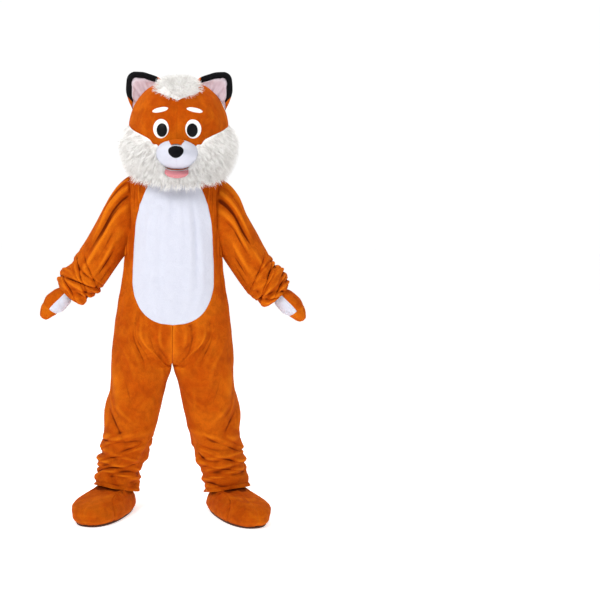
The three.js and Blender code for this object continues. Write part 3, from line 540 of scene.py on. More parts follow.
# Long folds: height, place round the half from 0 at centre front to 1 at centre back, or below the
# crotch round the leg from its inner side, half length, half width, depth (negative is a trough), lean
# in degrees, and 1 for the left side only, -1 for the right, 0 for both.
BROAD_FOLDS = rows(
    "z t long wide deep lean side",
    (1340, 0.29, 95, 26, 11, 5, 0), (1325, 0.35, 85, 22, -9, -6, 0), (1345, 0.70, 110, 30, 11, -5, 0),
    (1180, 0.84, 190, 36, -9, 6, 0), (1040, 0.46, 130, 34, -11, 6, 0), (740, 0.12, 120, 30, 10, 4, 0),
    (715, 0.22, 110, 26, -9, -6, 0), (560, 0.38, 120, 36, 11, 22, 0), (450, 0.50, 90, 32, 12, 34, 0),
    (400, 0.36, 80, 28, -11, 42, 0), (352, 0.20, 22, 110, 9, 8, 0), (480, 0.72, 110, 34, 11, -30, 0),
    (390, 0.64, 70, 28, -10, -44, 0),
)
FINE_FOLDS = rows(
    "z t long wide deep lean side",
    (1390, 0.24, 60, 7, 4.0, 8, 0), (1372, 0.28, 66, 6, -4.0, 5, 0), (1356, 0.31, 70, 6, 4.0, 1, 0),
    (1338, 0.335, 66, 5, -4.5, -3, 0), (1300, 0.325, 80, 7, 3.5, -2, 0), (1220, 0.335, 90, 8, -4.0, 2, 0),
    (1190, 0.36, 70, 7, 3.5, 5, 0), (1100, 0.40, 90, 10, 4.0, 4, 0), (1000, 0.36, 120, 12, -3.5, 2, 0),
    (960, 0.41, 110, 12, 4.0, 6, 0), (780, 0.05, 60, 9, 3.5, 2, 0), (770, 0.085, 66, 8, -4.0, -4, 1),
    (776, 0.10, 66, 9, -4.0, 3, -1), (758, 0.15, 90, 10, 4.0, 5, 0), (742, 0.19, 90, 10, -4.0, 1, 0),
    (735, 0.25, 80, 12, 3.5, -5, 0), (700, 0.04, 60, 12, -4.5, 24, 0), (680, 0.09, 70, 11, 3.5, 30, 0),
    (660, 0.30, 90, 16, 4.0, 14, 0), (620, 0.10, 60, 12, -3.5, 34, 0), (600, 0.44, 80, 12, -4.0, 12, 0),
    (540, 0.30, 80, 16, -4.0, 26, 0), (500, 0.42, 60, 10, 4.0, 36, 0), (455, 0.36, 60, 10, -4.0, 44, 0),
    (430, 0.28, 60, 12, 4.0, 52, 0), (500, 0.16, 90, 18, 3.0, 10, 1), (470, 0.10, 80, 16, -3.0, 16, -1),
    (1400, 0.74, 60, 7, 4.0, -8, 0), (1380, 0.70, 66, 6, -4.0, -5, 0), (1360, 0.665, 70, 6, 4.0, 0, 0),
    (1230, 0.66, 90, 9, -4.0, -3, 0), (1090, 0.62, 100, 11, 4.0, -4, 0), (960, 0.60, 110, 13, -4.0, -6, 0),
    (900, 0.94, 70, 12, 4.0, -20, 0), (860, 0.90, 80, 11, -4.0, -26, 0), (760, 0.95, 70, 12, 4.0, -10, 0),
    (720, 0.88, 80, 13, -4.0, -24, 0), (640, 0.80, 90, 16, 4.0, -14, 0), (560, 0.70, 80, 14, -4.0, -26, 0),
    (470, 0.60, 70, 11, 4.0, -38, 0), (430, 0.74, 60, 11, -4.0, -48, 0), (500, 0.90, 80, 16, 3.5, -12, 0),
)


def trunk_point(t, z):
    """A point of the trunk: t goes from centre front at 0 to centre back at 1."""
    section = TRUNK(z)
    aside = signed_power(np.sin(pi * t), 2 / TRUNK_POWER)
    ahead = signed_power(np.cos(pi * t), 2 / TRUNK_POWER)
    return vec(section.half * aside, -ahead * np.where(ahead > 0, section.front, section.back), z)


def leg_point(t, z):
    """A point of a leg: t goes once round it, from the inner side over the front."""
    section = LEG(z)
    return vec(
        section.x - section.half * np.cos(2 * pi * t),
        section.y - section.deep * np.sin(2 * pi * t),
        z,
    )


def plain_body(t, z):
    """The suit with no folds: the trunk above, one leg below, and the rise between them."""
    t, z = np.broadcast_arrays(np.asarray(t, float), np.asarray(z, float))
    fall = np.clip((RISE_TOP - z) / (RISE_TOP - CROTCH_HEIGHT), 0, 1)
    from_seam = smooth(np.minimum(t, 1 - t) / 0.2)
    at_seam = 1 - np.sqrt(1 - fall**2)
    share = at_seam + (smooth(fall) - at_seam) * from_seam
    trunk, leg = trunk_point(t, z), leg_point(t, z)
    return trunk + (leg - trunk) * share[..., None]


def fold_shape(away, fold):
    """Ridges are round and valleys are sharp."""
    return bump(away, fold.wide) if fold.deep > 0 else np.exp(-np.abs(away) / (0.8 * fold.wide))


def folds_at(folds, t, z, girth, side):
    """How far the long folds stand out at a place round and a height."""
    total = 0
    for fold in folds:
        if fold.side not in (0, side):
            continue
        away = np.where(z < CROTCH_HEIGHT, wrap(t - fold.t), t - fold.t) * girth
        up = z - fold.z
        c, s = cos(radians(fold.lean)), sin(radians(fold.lean))
        depth = fold.deep * (1 + 0.18 * side * sin(7 * fold.z))
        total = total + depth * bump(up * c + away * s, fold.long) * fold_shape(away * c - up * s, fold)
    return total


def rolls_at(rolls, key, at, turn):
    """How far the rolls stand out, and how far they sag, at a place along and round a tube."""
    out, sag = 0, 0
    for roll in rolls:
        middle = getattr(roll, key) - roll.drop * np.cos(2 * pi * turn)
        full = 0.75 + 0.25 * np.cos(2 * pi * (turn - roll.fullest))
        height = roll.bulge * full * bump(at - middle, roll.half)
        out = out + height
        sag = sag + roll.sag * height
    return out, sag


def creases_at(creases, key, at, turn, girth):
    """Narrow valleys that run round a tube, each with a low ridge beside it, fading out at its ends."""
    total = 0
    for crease in creases:
        away = wrap(turn - crease.t) * girth
        level = at - getattr(crease, key) + away * np.tan(radians(crease.lean))
        deep = crease.deep * bump(away, crease.long)
        total = total - deep * np.exp(-np.abs(level) / crease.half)
        total = total + 0.4 * deep * bump(level - 2.4 * crease.half, 2 * crease.half)
    return total


def body_normal(t, z):
    """The way out of the plain body, from its slopes round and up."""
    way_round = plain_body(t + 1e-3, z) - plain_body(t - 1e-3, z)
    way_up = plain_body(t, z + 1) - plain_body(t, z - 1)
    return unit(np.cross(way_round, way_up))


def crumple(points, size, seed, deep):
    """Crumpled cloth: round swellings with narrow valleys between them."""
    bent = points + 0.3 * size * ripple(points, 1.5 * size, seed + 3)[..., None]
    return deep * (0.35 - np.exp(-((2.5 * ripple(bent, size, seed)) ** 2)))


def body_grid(t, z, side):
    """The suit's outer surface over places round the half and heights, with all its folds."""
    t, z = np.broadcast_arrays(t, z)
    points = plain_body(t, z)
    middle = vec(np.where(z > RISE_TOP, 0, LEG(z).x), 0, z)
    outward = points - middle
    normal = body_normal(t, z)
    stronger_above = 1.0 + 0.5 * smooth((z - 900) / 200)
    relief = folds_at(BROAD_FOLDS, t, z, GIRTH, side)
    relief = relief + stronger_above * folds_at(FINE_FOLDS, t, z, GIRTH, side)
    low = smooth((GATHER_TOP + 80 - z) / 60)
    out, sag = rolls_at(LEG_ROLLS, "z", z, t)
    relief = relief + low * (out + 0.6 * creases_at(LEG_CREASES, "z", z, t + 0.02 * side, LEG_GIRTH))
    # Crumples lie level, three times as long as they are high, and drop towards the outer side.
    lying = vec(0.3 * points[..., 0], 0.3 * points[..., 1], points[..., 2] + 0.28 * points[..., 0])
    relief = relief + smooth((390 - z) / 150) * crumple(lying, 84, 15 + side, 12)
    relief = relief + 1.4 * seam_dip(z - HEM_HEIGHT - HEM_WIDTH)
    relief = relief + 1.3 * ripple(points, 120, 5 + side) + 0.5 * ripple(points, 45, 11 + side)
    points = points + normal * relief[..., None]
    points[..., 2] -= low * sag
    hem = 1 - smooth((z - HEM_HEIGHT) / (GATHER_TOP - HEM_HEIGHT))
    points[..., 2] += hem * HEM_TILT * np.cos(2 * pi * (t - HEM_RAISED_AT))
    return points, outward, normal


def panel_reach(z):
    """The place round the half where a front panel ends, at the side seam or at the armhole."""
    q = (z - ARMHOLE_MIDDLE) / ARMHOLE_HALF
    return 0.5 - ARMHOLE_REACH * np.sqrt(np.clip(1 - q * q, 0, 1))


def belly_edge(z):
    """The place round the half where the belly panel is sewn in, 0 below it."""
    half = np.where(z > BELLY_BOTTOM, BELLY(z).half, 0)
    return np.arcsin((half / TRUNK(z).half) ** (TRUNK_POWER / 2)) / pi


SUIT_ROWS = along(
    (NECK_HEIGHT, SHOULDER_HEIGHT, 14), (SHOULDER_HEIGHT, ARMPIT_HEIGHT, 80),
    (ARMPIT_HEIGHT, BELLY_BOTTOM + 12, 66), (BELLY_BOTTOM + 12, BELLY_BOTTOM, 8),
    (BELLY_BOTTOM, CROTCH_HEIGHT, 42), (CROTCH_HEIGHT, GATHER_TOP, 74), (GATHER_TOP, HEM_HEIGHT, 90),
)
SUIT_COLUMNS = 92
SEAM_HALF = 0.3 / GIRTH  # half the gap between two panels, as a share of the way round


def seam_dip(distance):
    """How far the cloth is drawn in beside a seam, by its distance from it."""
    return -2.0 * np.exp(-np.abs(distance) / 3.5)


def with_allowance(points, normal, depth=6.0):
    """The grid with a column more on each side, where the cloth turns in at the seam."""
    first = points[:1] - normal[:1] * depth
    last = points[-1:] - normal[-1:] * depth
    return np.concatenate([first, points, last])


def suit_panel(name, is_front, side):
    """A front or back panel, trunk and leg in one, with its edges turned in."""
    z = SUIT_ROWS
    start = belly_edge(z) if is_front else np.zeros_like(z)
    end = panel_reach(z)
    ease = np.linspace(0, 1, SUIT_COLUMNS)[:, None]
    # The columns stand closer at the seams and midway between them.
    share = 0.5 - 0.5 * np.cos(pi * ease) * (1 - 0.55 * np.sin(pi * ease))
    place = start + SEAM_HALF + (end - start - 2 * SEAM_HALF) * share
    t = place if is_front else 1 - place
    points, outward, normal = body_grid(t, np.broadcast_to(z, t.shape), side)
    dip = seam_dip((place - start) * GIRTH) + seam_dip((end - place) * GIRTH)
    points = with_allowance(points + normal * dip[..., None], normal)
    outward = with_ends(outward)
    points[..., 0] = np.maximum(points[..., 0], 0.15)
    points = turned_under(points, outward, 12)
    return grid_object(name, points, lengthened(outward, points), mirrored=side < 0)


# Soft upright creases in the belly: place across from -1 to 1, height, half length, half width, depth.
BELLY_FOLDS = rows(
    "share z long wide deep",
    (-0.58, 1240, 170, 12, 3.0), (-0.24, 1190, 220, 16, -3.0), (0.10, 1290, 150, 12, 3.0),
    (0.30, 1150, 250, 14, 3.5), (0.46, 1200, 210, 12, -3.5), (0.62, 1060, 190, 14, 3.0),
    (-0.42, 990, 150, 16, 2.5), (0.08, 960, 120, 18, -2.5), (-0.05, 1330, 110, 10, -2.5),
)


def belly_panel(name):
    """The white panel set in between the two front panels."""
    z = SUIT_ROWS[:, SUIT_ROWS[0] >= BELLY_BOTTOM - 0.1]
    share = np.linspace(-1, 1, 91)[:, None]
    share = np.sin(share * pi / 2) * 0.6 + share * 0.4
    edge = np.maximum(belly_edge(z) - SEAM_HALF, 0)
    t = np.abs(share) * edge
    left, outward, normal = body_grid(t, np.broadcast_to(z, t.shape), 1)
    right, _, _ = body_grid(t, np.broadcast_to(z, t.shape), -1)
    blend = smooth(share[:, :, None] * 2 + 0.5)
    points = right + (left - right) * blend
    soft = 1.2 * ripple(points, 150, 31)
    for fold in BELLY_FOLDS:
        soft = soft + fold.deep * bump(z - fold.z, fold.long) * bump((share - fold.share) * 170, fold.wide)
    dip = seam_dip((edge - t) * GIRTH)
    points = points + normal * (dip + soft)[..., None]
    points = with_allowance(points, normal)
    outward = with_ends(outward)
    sign = np.where(with_ends(share) < 0, -1, 1)
    points[..., 0] *= sign
    outward[..., 0] *= sign
    return grid_object(name, points, outward)


# Sleeves

SLEEVE = Profile(
    "s topx topz underx underz deep",
    (0, 190, 1466, 214, 1122, 78), (38, 232, 1442, 227, 1098, 87), (86, 276, 1380, 240, 1078, 94),
    (140, 316, 1305, 252, 1060, 96), (202, 362, 1222, 268, 1036, 94), (260, 402, 1154, 291, 1004, 92),
    (320, 443, 1093, 321, 967, 88), (374, 480, 1042, 365, 936, 80), (406, 497, 1007, 400, 912, 70),
    (424, 495, 982, 427, 918, 56),
)
# Rolls and creases round a sleeve, by their distance along it, in the columns of the legs' tables.
SLEEVE_ROLLS = rows(
    "s bulge half drop fullest sag",
    (336, 11, 15, -12, 0.95, 0.3),
    (368, 13, 13, -4, 0.3, 0.3),
    (400, 11, 12, 4, 0.75, 0.3),
)
SLEEVE_CREASES = rows(
    "s t long half deep lean",
    (286, 0.25, 120, 6, 8, -18), (326, 0.20, 110, 4, 9, -22), (330, 0.70, 110, 4, 8, 18),
    (360, 0.32, 100, 4, 9, -16), (362, 0.78, 90, 4, 8, 14), (388, 0.18, 90, 3, 8, -12),
    (390, 0.62, 90, 3, 7, 12), (288, 0.76, 110, 6, 7, 20), (344, 0.02, 60, 4, 6, 10),
    (376, 0.46, 60, 4, 6, -8),
)
DOWN_SLEEVE = unit(np.array([0.52, 0, -0.854]))
# Folds that run down the sleeve: place round it from the upper side over the front, distance along.
SLEEVE_FOLDS = rows(
    "turn s long wide deep",
    (0.111, 85, 80, 26, 10), (0.183, 110, 90, 24, -10), (0.256, 160, 100, 28, 9),
    (0.889, 85, 80, 26, 10), (0.817, 115, 90, 24, -10), (0.739, 160, 100, 28, 9),
    (0.07, 60, 55, 7, 4), (0.10, 70, 66, 6, -4.5), (0.14, 84, 80, 7, 4.5), (0.175, 100, 90, 6, -5),
    (0.215, 130, 100, 9, 4), (0.25, 120, 90, 8, -4), (0.30, 170, 90, 11, 4), (0.34, 190, 80, 10, -4),
    (0.93, 60, 55, 7, 4), (0.90, 70, 66, 6, -4.5), (0.86, 84, 80, 7, 4.5), (0.825, 100, 90, 6, -5),
    (0.785, 130, 100, 9, 4), (0.75, 120, 90, 8, -4), (0.70, 170, 90, 11, 4), (0.66, 190, 80, 10, -4),
    (0.40, 230, 80, 12, -4), (0.20, 240, 60, 14, 5), (0.02, 200, 90, 14, -4), (0.60, 230, 80, 12, -4),
)


def sleeve_piece(name, side):
    """A sleeve, from the armhole to the cuff, gathered above it."""
    columns = 150
    turn = (np.arange(columns) / columns)[:, None]
    s = along((0, 250, 90), (250, ARM_LENGTH, 110))
    turn, s = np.broadcast_arrays(turn, s)
    c, n = np.cos(2 * pi * turn), np.sin(2 * pi * turn)
    section = SLEEVE(s)
    ring = vec(
        (section.topx + section.underx) / 2 + (section.topx - section.underx) / 2 * c,
        -section.deep * n,
        (section.topz + section.underz) / 2 + (section.topz - section.underz) / 2 * c,
    )
    armhole = (0.5 - ARMHOLE_REACH * n, ARMHOLE_MIDDLE + ARMHOLE_HALF * c)
    hole, _, hole_normal = body_grid(*armhole, side)
    points = hole + (ring - hole) * smooth(s / 88)[..., None]
    points[..., 0] += 0.3
    outward = points - points.mean(axis=0, keepdims=True)
    normal = normals_of(points, outward, loop=True)
    normal = unit(hole_normal + (normal - hole_normal) * smooth(s / 30)[..., None])
    relief = 0
    for fold in SLEEVE_FOLDS:
        away = wrap(turn - fold.turn - 0.01 * side * sin(9 * fold.s)) * SLEEVE_GIRTH
        deep = fold.deep * (1.8 if fold.wide < 20 else 1)
        relief = relief + deep * fold_shape(away, fold) * bump(s - fold.s, fold.long)
    out, sag = rolls_at(SLEEVE_ROLLS, "s", s, turn)
    gathered = smooth((s - 236) / 40)
    relief = relief + gathered * (out + creases_at(SLEEVE_CREASES, "s", s, turn + 0.02 * side, CUFF_GIRTH))
    lying = vec(26 * c - 0.2 * s, 26 * n, s - 22 * c)
    relief = relief + smooth((s - 270) / 50) * crumple(lying, 72, 25 + side, 11)
    relief = relief * smooth(s / 40) * smooth((ARM_LENGTH + 6 - s) / 16)
    relief = relief + seam_dip(s) + 1.4 * seam_dip(ARM_LENGTH - HEM_WIDTH - s)
    relief = relief + 1.3 * ripple(points, 110, 21 + side) * smooth(s / 60)
    points = points + normal * relief[..., None]
    points = points + DOWN_SLEEVE * (gathered * sag * smooth((ARM_LENGTH - s) / 40))[..., None]
    points = turned_under(points, outward, 14, loop=True)
    points = np.concatenate([points[:, :1] - normal[:, :1] * 7, points], axis=1)
    outward = np.concatenate([outward[:, :1], outward], axis=1)
    return grid_object(name, points, lengthened(outward, points), loop=True, mirrored=side < 0)


# Mitts

MITT = Profile(
    "s x z back palm side",
    (0, 446, 980, 22, 28, 34), (24, 463, 963, 30, 35, 41), (60, 488, 937, 44, 49, 51),
    (96, 514, 912, 48, 51, 55), (122, 532, 892, 42, 42, 53), (146, 548, 872, 35, 32, 48),
    (166, 559, 856, 26, 25, 40), (178, 565, 846, 17, 17, 28), (184, 568, 841, 0, 0, 0),
)
MITT_END = 184
KNUCKLE = 128


def mitt_grid(turn, s):
    """Points of a mitt: turn goes from the back of the hand over its front edge."""
    at, ahead, behind = MITT(s), MITT(s + 4), MITT(s - 4)
    run = unit(vec(ahead.x - behind.x, 0, ahead.z - behind.z))
    outward = vec(-run[..., 2], 0, run[..., 0])
    c, n = signed_power(np.cos(2 * pi * turn), 0.9), signed_power(np.sin(2 * pi * turn), 0.9)
    between = smooth((s - KNUCKLE) / 30) * 5 * np.cos(3 * pi * n) ** 2
    high = np.maximum(0, np.where(c > 0, at.back, at.palm) - between)
    return vec(at.x, -at.side * n, at.z) + outward * (high * c)[..., None], at


def mitt_piece(name, turns, stretch, side, columns=64, loop=False):
    """A part of a mitt between two turns in degrees and two distances along it."""
    turn = (np.linspace(*turns, columns, endpoint=not loop) / 360)[:, None]
    s = np.linspace(*stretch, 60)[None, :]
    points, at = mitt_grid(*np.broadcast_arrays(turn, s))
    outward = points - vec(at.x, 0, at.z)
    normal = normals_of(points, outward, loop)
    edge = seam_dip(s - stretch[0])
    if stretch[1] < MITT_END:
        edge = edge + seam_dip(stretch[1] - s)
    if not loop:
        for seam in turns:
            edge = edge + seam_dip(MITT_GIRTH * np.abs(turn - seam / 360))
    relief = edge + 1.2 * ripple(points, 50, 41 + side)
    points = points + normal * relief[..., None]
    return grid_object(name, points, outward, loop=loop, mirrored=side < 0)


# Feet

ANKLE = (243, 15)
SOLE_TOP = 9
FOOT_MIDDLE = -70
FOOT_REACH = 150  # from the foot's middle to its edge, which turns an angle round it into millimetres
FOOT_SEAMS = (62, 298)
FOOT = Profile(
    "h middle aside toe heel side",
    (9, 130, 0, 212, 212, 98), (28, 130, 1, 229, 226, 106), (50, 130, 5, 229, 226, 106),
    (72, 128, 10, 212, 218, 101), (88, 122, 9, 174, 206, 84), (98, 98, 5, 124, 180, 71),
    (103, 46, 3, 61, 126, 68.7), (108, 9, 3, 72.6, 86, 67.7), (130, 0, 0, 78, 72, 66),
    (160, 0, 0, 66, 64, 58), (190, 0, 0, 58, 58, 52),
)


def foot_outline(turn, h, inset=0.0):
    """Points of a foot at a height: turn goes from the toe over the outer side."""
    at = FOOT(h)
    c, n = signed_power(np.cos(turn), 0.86), signed_power(np.sin(turn), 0.86)
    reach = np.where(c > 0, at.toe, at.heel) - inset
    return vec(at.aside + (at.side - inset) * n, -at.middle - reach * c, h)


def under_leg(points):
    """Turns a foot's points outward and puts them under their leg."""
    return turned_to(points, FOOT_TURN, *ANKLE)




def foot_upper(name, turns, side):
    """One side of a foot cover, between two turns in degrees."""
    turn = np.radians(np.linspace(*turns, 90))[:, None]
    h = along((SOLE_TOP, 30, 12), (30, 130, 60), (130, 190, 14))
    turn, h = np.broadcast_arrays(turn, h)
    points = foot_outline(turn, h)
    outward = points - vec(0, FOOT_MIDDLE, 60)
    normal = normals_of(points, outward)
    start, end = np.radians(turns)
    dip = seam_dip((turn - start) * FOOT_REACH) + seam_dip((end - turn) * FOOT_REACH)
    relief = dip + seam_dip(h - SOLE_TOP)
    relief = relief + 1.6 * ripple(points, 90, 51 + side) + 0.7 * ripple(points, 36, 61 + side)
    for seam in FOOT_SEAMS:
        relief = relief + 2.4 * seam_dip((turn - radians(seam)) * FOOT_REACH) * smooth((112 - h) / 10)
    # Two wrinkles run over the instep.
    y = points[..., 1]
    relief = relief - 3 * bump(y + 96, 7) * smooth((h - 80) / 20)
    relief = relief - 2.4 * bump(y + 130, 8) * smooth((h - 96) / 14)
    points = points + normal * relief[..., None]
    return grid_object(name, points, outward, mirrored=side < 0, place=under_leg)


# The sole's section: how far in from its outline, and the height.
SOLE = ((60, 0), (8, 0), (5, 0.6), (3.4, 3), (3.2, 6), (4, 8.6), (60, 8.6))
SOLE_MIDDLE = 4.3


def foot_sole(name, side):
    """The sole, with a rounded edge."""
    turn = all_round(120)
    inset, level = np.array(SOLE).T[:, None, :]
    points = foot_outline(turn, np.full_like(level, float(SOLE_TOP)), inset)
    points[..., 2] = level
    for pole in (0, -1):
        points[:, pole, :2] = 0, FOOT_MIDDLE
    outward = points - vec(0, FOOT_MIDDLE, SOLE_MIDDLE)
    return grid_object(name, points, outward, loop=True, mirrored=side < 0, place=under_leg)


# Tail

TAIL = Profile(
    "s y z half deep",
    (0, 170, 938, 14, 13), (30, 192, 918, 31, 27), (104, 240, 862, 58, 50), (225, 306, 762, 86, 76),
    (345, 358, 654, 99, 90), (470, 408, 540, 105, 96), (570, 442, 446, 97, 89), (650, 464, 369, 79, 72),
    (710, 478, 311, 48, 44), (738, 484, 284, 18, 17), (746, 486, 276, 0, 0),
)
TAIL_TIP_START, TAIL_END = 590, 746
TAIL_ROOT = 938


def tail_grid(turn, s, shrink=0.0):
    """Points round and along the tail, and the middle line's points beside them."""
    at, ahead, behind = TAIL(s), TAIL(s + 5), TAIL(s - 5)
    run = unit(vec(0 * at.y, ahead.y - behind.y, ahead.z - behind.z))
    outward = vec(0 * at.y, -run[..., 2], run[..., 1])
    half, deep = np.maximum(at.half - shrink, 0), np.maximum(at.deep - shrink, 0)
    middle = vec(0 * at.y, at.y, at.z)
    aside = vec(half * np.sin(2 * pi * turn), 0, 0)
    points = middle + aside + outward * (deep * np.cos(2 * pi * turn))[..., None]
    for place in (points, middle):
        place[..., 0] += TAIL_SWING * (TAIL_ROOT - place[..., 2])
    return points, middle


def tail_surface(name, stretch, shrink=0.0, columns=96, count=90, rough=2.5):
    """The tail's cloth, or the backing of its tip, between two distances along it."""
    turn = (np.arange(columns) / columns)[:, None]
    s = np.linspace(*stretch, count)[None, :]
    points, middle = tail_grid(*np.broadcast_arrays(turn, s), shrink)
    outward = points - middle
    normal = normals_of(points, outward, loop=True)
    relief = rough * ripple(points, 130, 71) + 0.4 * rough * ripple(points, 50, 73)
    relief = relief * smooth((s - stretch[0]) / 40) * smooth((TAIL_END - s) / 30)
    return grid_object(name, points + normal * relief[..., None], outward, loop=True)


# Head

HEAD = SimpleNamespace(side=213, front=200, back=205, up=211, low=180, low_front=110)
CHEEK = Profile(
    "angle upper tipz tipr puff",
    (0, 1486, 1414, 196, 36), (8, 1488, 1415, 198, 36), (15, 1496, 1416, 200, 36),
    (21, 1508, 1420, 204, 37), (26, 1529, 1422, 206, 37), (28.5, 1586, 1424, 207, 38),
    (31, 1606, 1427, 208, 38), (35, 1617, 1430, 210, 38), (60, 1652, 1453, 212, 42),
    (90, 1684, 1483, 206, 44), (118, 1688, 1482, 180, 32), (126, 1650, 1485, 164, 22),
    (142, 1512, 1490, 122, 8),
)
CHEEK_END = 142
# Shares of the cheek's way down: where its puff is full, and where its fringe starts to hang free.
PUFF_FULL, FRINGE_START = 0.28, 0.7
CHEEK_BACKING = 0.55  # how much of the puff the backing has, under the length of the fur


def low_reach(turn):
    """How far the shell reaches below its middle, which is further at the front."""
    return HEAD.low + HEAD.low_front * ((1 + np.cos(turn)) / 2) ** 1.5


def rim_height(turn):
    """The height of the shell's lower rim, which is lower at the front."""
    return 1503 - 43 * np.maximum(0, np.cos(turn)) ** 1.5


def head_point(turn, latitude):
    """A point of the shell, by its turn from the front and its latitude."""
    up = signed_power(np.sin(latitude), 2 / HEAD_POWER)
    out = signed_power(np.cos(latitude), 2 / HEAD_POWER)
    depth = np.where(np.cos(turn) > 0, HEAD.front, HEAD.back)
    return vec(
        HEAD.side * np.sin(turn) * out,
        -depth * np.cos(turn) * out,
        HEAD_Z + up * np.where(up > 0, HEAD.up, low_reach(turn)),
    )


def latitude_at(turn, z):
    """The latitude at which the shell reaches a height."""
    rise = z - HEAD_Z
    share = np.clip(np.abs(rise) / np.where(rise > 0, HEAD.up, low_reach(turn)), 0, 1)
    return np.sign(rise) * np.arcsin(share ** (HEAD_POWER / 2))


def head_out(turn, latitude, out):
    """Points at distances out from the shell, along the shell's normal."""
    turn, latitude = np.broadcast_arrays(np.asarray(turn, float), np.asarray(latitude, float))
    lat = np.clip(latitude, -1.5, 1.55)
    step = 1e-3
    across_way = head_point(turn + step, lat) - head_point(turn - step, lat)
    up_way = head_point(turn, lat + step) - head_point(turn, lat - step)
    normal = unit(np.cross(across_way, up_way))
    base = head_point(turn, latitude)
    sign = np.sign(np.sum(normal * (base - vec(0, 0, HEAD_Z)), axis=-1, keepdims=True))
    normal = np.where(np.abs(latitude[..., None]) > 1.54, np.array([0.0, 0.0, 1.0]), normal * sign)
    return base + normal * np.asarray(out, float)[..., None]


def head_front(x, z, out):
    """The point of the shell's front at a place across and a height, moved out."""
    x, z = np.broadcast_arrays(np.asarray(x, float), np.asarray(z, float))
    turn = np.zeros_like(x)
    # The height that a latitude has depends on the turn, so a few rounds find the two.
    for _ in range(8):
        wide = HEAD.side * np.cos(latitude_at(turn, z)) ** (2 / HEAD_POWER)
        turn = np.arcsin(np.clip(np.abs(x) / wide, 0, 1))
    point = head_out(turn, latitude_at(turn, z), np.broadcast_to(out, x.shape))
    point[..., 0] *= np.where(x < 0, -1, 1)
    return point


def on_head(points):
    """Turns the head's points about its middle and moves them to where it sits."""
    return turned_to(points, -FACE_TURN, HEAD_X, 0)


def head_grid(name, points, outward, side, loop=False):
    """An object of the head, made as a left one and mirrored for the right side."""
    if side < 0:
        points, outward = points.copy(), outward.copy()
        points[..., 0] *= -1
        outward[..., 0] *= -1
    return grid_object(name, points, outward, loop=loop, place=on_head)


def head_shell(name, side):
    """Half of the shell, down to the cheek fur and, behind, to the rim."""
    angle = along((0, 20, 14), (20, 35, 24), (35, 118, 40), (118, CHEEK_END, 16), (CHEEK_END, 180, 18)).T
    v = np.linspace(0, 1, 90)[None, :]
    turn = np.radians(angle)
    rim, cheek = latitude_at(turn, rim_height(turn)), latitude_at(turn, CHEEK(angle).upper)
    low = np.where(angle > CHEEK_END, rim, cheek)
    latitude = pi / 2 + (low - 0.02 - pi / 2) * v
    turn, latitude = np.broadcast_arrays(turn, latitude)
    points = head_out(turn, latitude, 0 * turn)
    outward = points - vec(0, 0, HEAD_Z)
    dip = seam_dip(turn * 200) + seam_dip((pi - turn) * 200)
    relief = dip * smooth(v * 6) + 1.6 * ripple(points, 120, 81 + side) + 0.6 * ripple(points, 45, 83 + side)
    points = head_out(turn, latitude, relief)
    points[..., 0] = np.maximum(points[..., 0], 0.1)
    return head_grid(name, points, outward, side)


def down_cheek(angle, v, upper):
    """The turn, the latitude and the share of the full puff at a share of the cheek's way down."""
    turn = np.radians(angle)
    share = np.minimum(1, v / FRINGE_START)
    start = latitude_at(turn, upper)
    latitude = start + (latitude_at(turn, rim_height(turn)) - start) * share
    return turn, latitude, np.sin(np.clip(share / PUFF_FULL, 0, 1) * pi / 2)


def cheek_base(name, side):
    """The knitted back that the cheek fur grows from."""
    angle = along((0, 35, 26), (35, 118, 30), (118, CHEEK_END, 30)).T
    v = np.linspace(0, 1, 34)[None, :]
    row = CHEEK(angle)
    # Beside the snout, from 15 to 24 degrees, the backing's upper edge comes up to 1592 mm.
    beside_snout = smooth((angle - 15) / 9) * np.maximum(0, 1592 - row.upper)
    turn, latitude, puff = down_cheek(angle, v, row.upper + beside_snout)
    points = head_out(turn, latitude, row.puff * CHEEK_BACKING * puff + 1)
    hang = np.clip((v - FRINGE_START) / (1 - FRINGE_START), 0, 1) * 0.6
    reach = row.tipr - 18
    tip = vec(reach * np.sin(turn), -reach * np.cos(turn), row.tipz)
    points = points + (tip - points) * hang[..., None]
    points[..., 0] = np.maximum(points[..., 0], 0)
    outward = points - vec(0, 0, HEAD_Z - 40)
    return head_grid(name, points, outward, side)


# The face

SNOUT = SimpleNamespace(z=1551, half=93, high=60, reach=134)
NOSE = SimpleNamespace(z=1556, half=31, high=25, reach=21)
BRIDGE = SimpleNamespace(half=26, start=0.56, end=0.94)
EYE = SimpleNamespace(x=67, z=1656, half=33, high=40, tilt=0)
PUPIL = SimpleNamespace(x=62, z=1650, half=22, high=28, tilt=0)
BROW = SimpleNamespace(x=71, z=1734, half=34, high=10, tilt=10)
LIP = SimpleNamespace(stretch=(0.04, 0.66), half=14)  # shares of the cheek's way down, and degrees


def face_patch(name, shape, base, lift, side):
    """A patch on the face with a rounded edge, given by its outline in the front view."""
    angle = all_round(72)
    v = np.linspace(0, 1, 16)[None, :] ** 1.5
    a, b = shape.half * (1 - v) * np.cos(angle), shape.high * (1 - v) * np.sin(angle)
    c, s = cos(radians(shape.tilt)), sin(radians(shape.tilt))
    rise = base + lift(v) + 0 * a
    rise[:, 0] = base
    points = head_front(shape.x + a * c + b * s, shape.z - a * s + b * c, rise)
    outward = np.broadcast_to(np.array([0.0, -1.0, 0.0]), points.shape)
    return head_grid(name, points, outward, side, loop=True)


def snout_point(x, z, out):
    """A point out from the snout, by its place across and its height."""
    share = np.hypot(x / SNOUT.half, (z - SNOUT.z) / SNOUT.high)
    reach = SNOUT.reach * np.maximum(0, 1 - share**1.7) ** 0.8
    return head_front(x, z, 1.2 + 0 * x) + vec(0 * x, -reach - out, 0 * x)


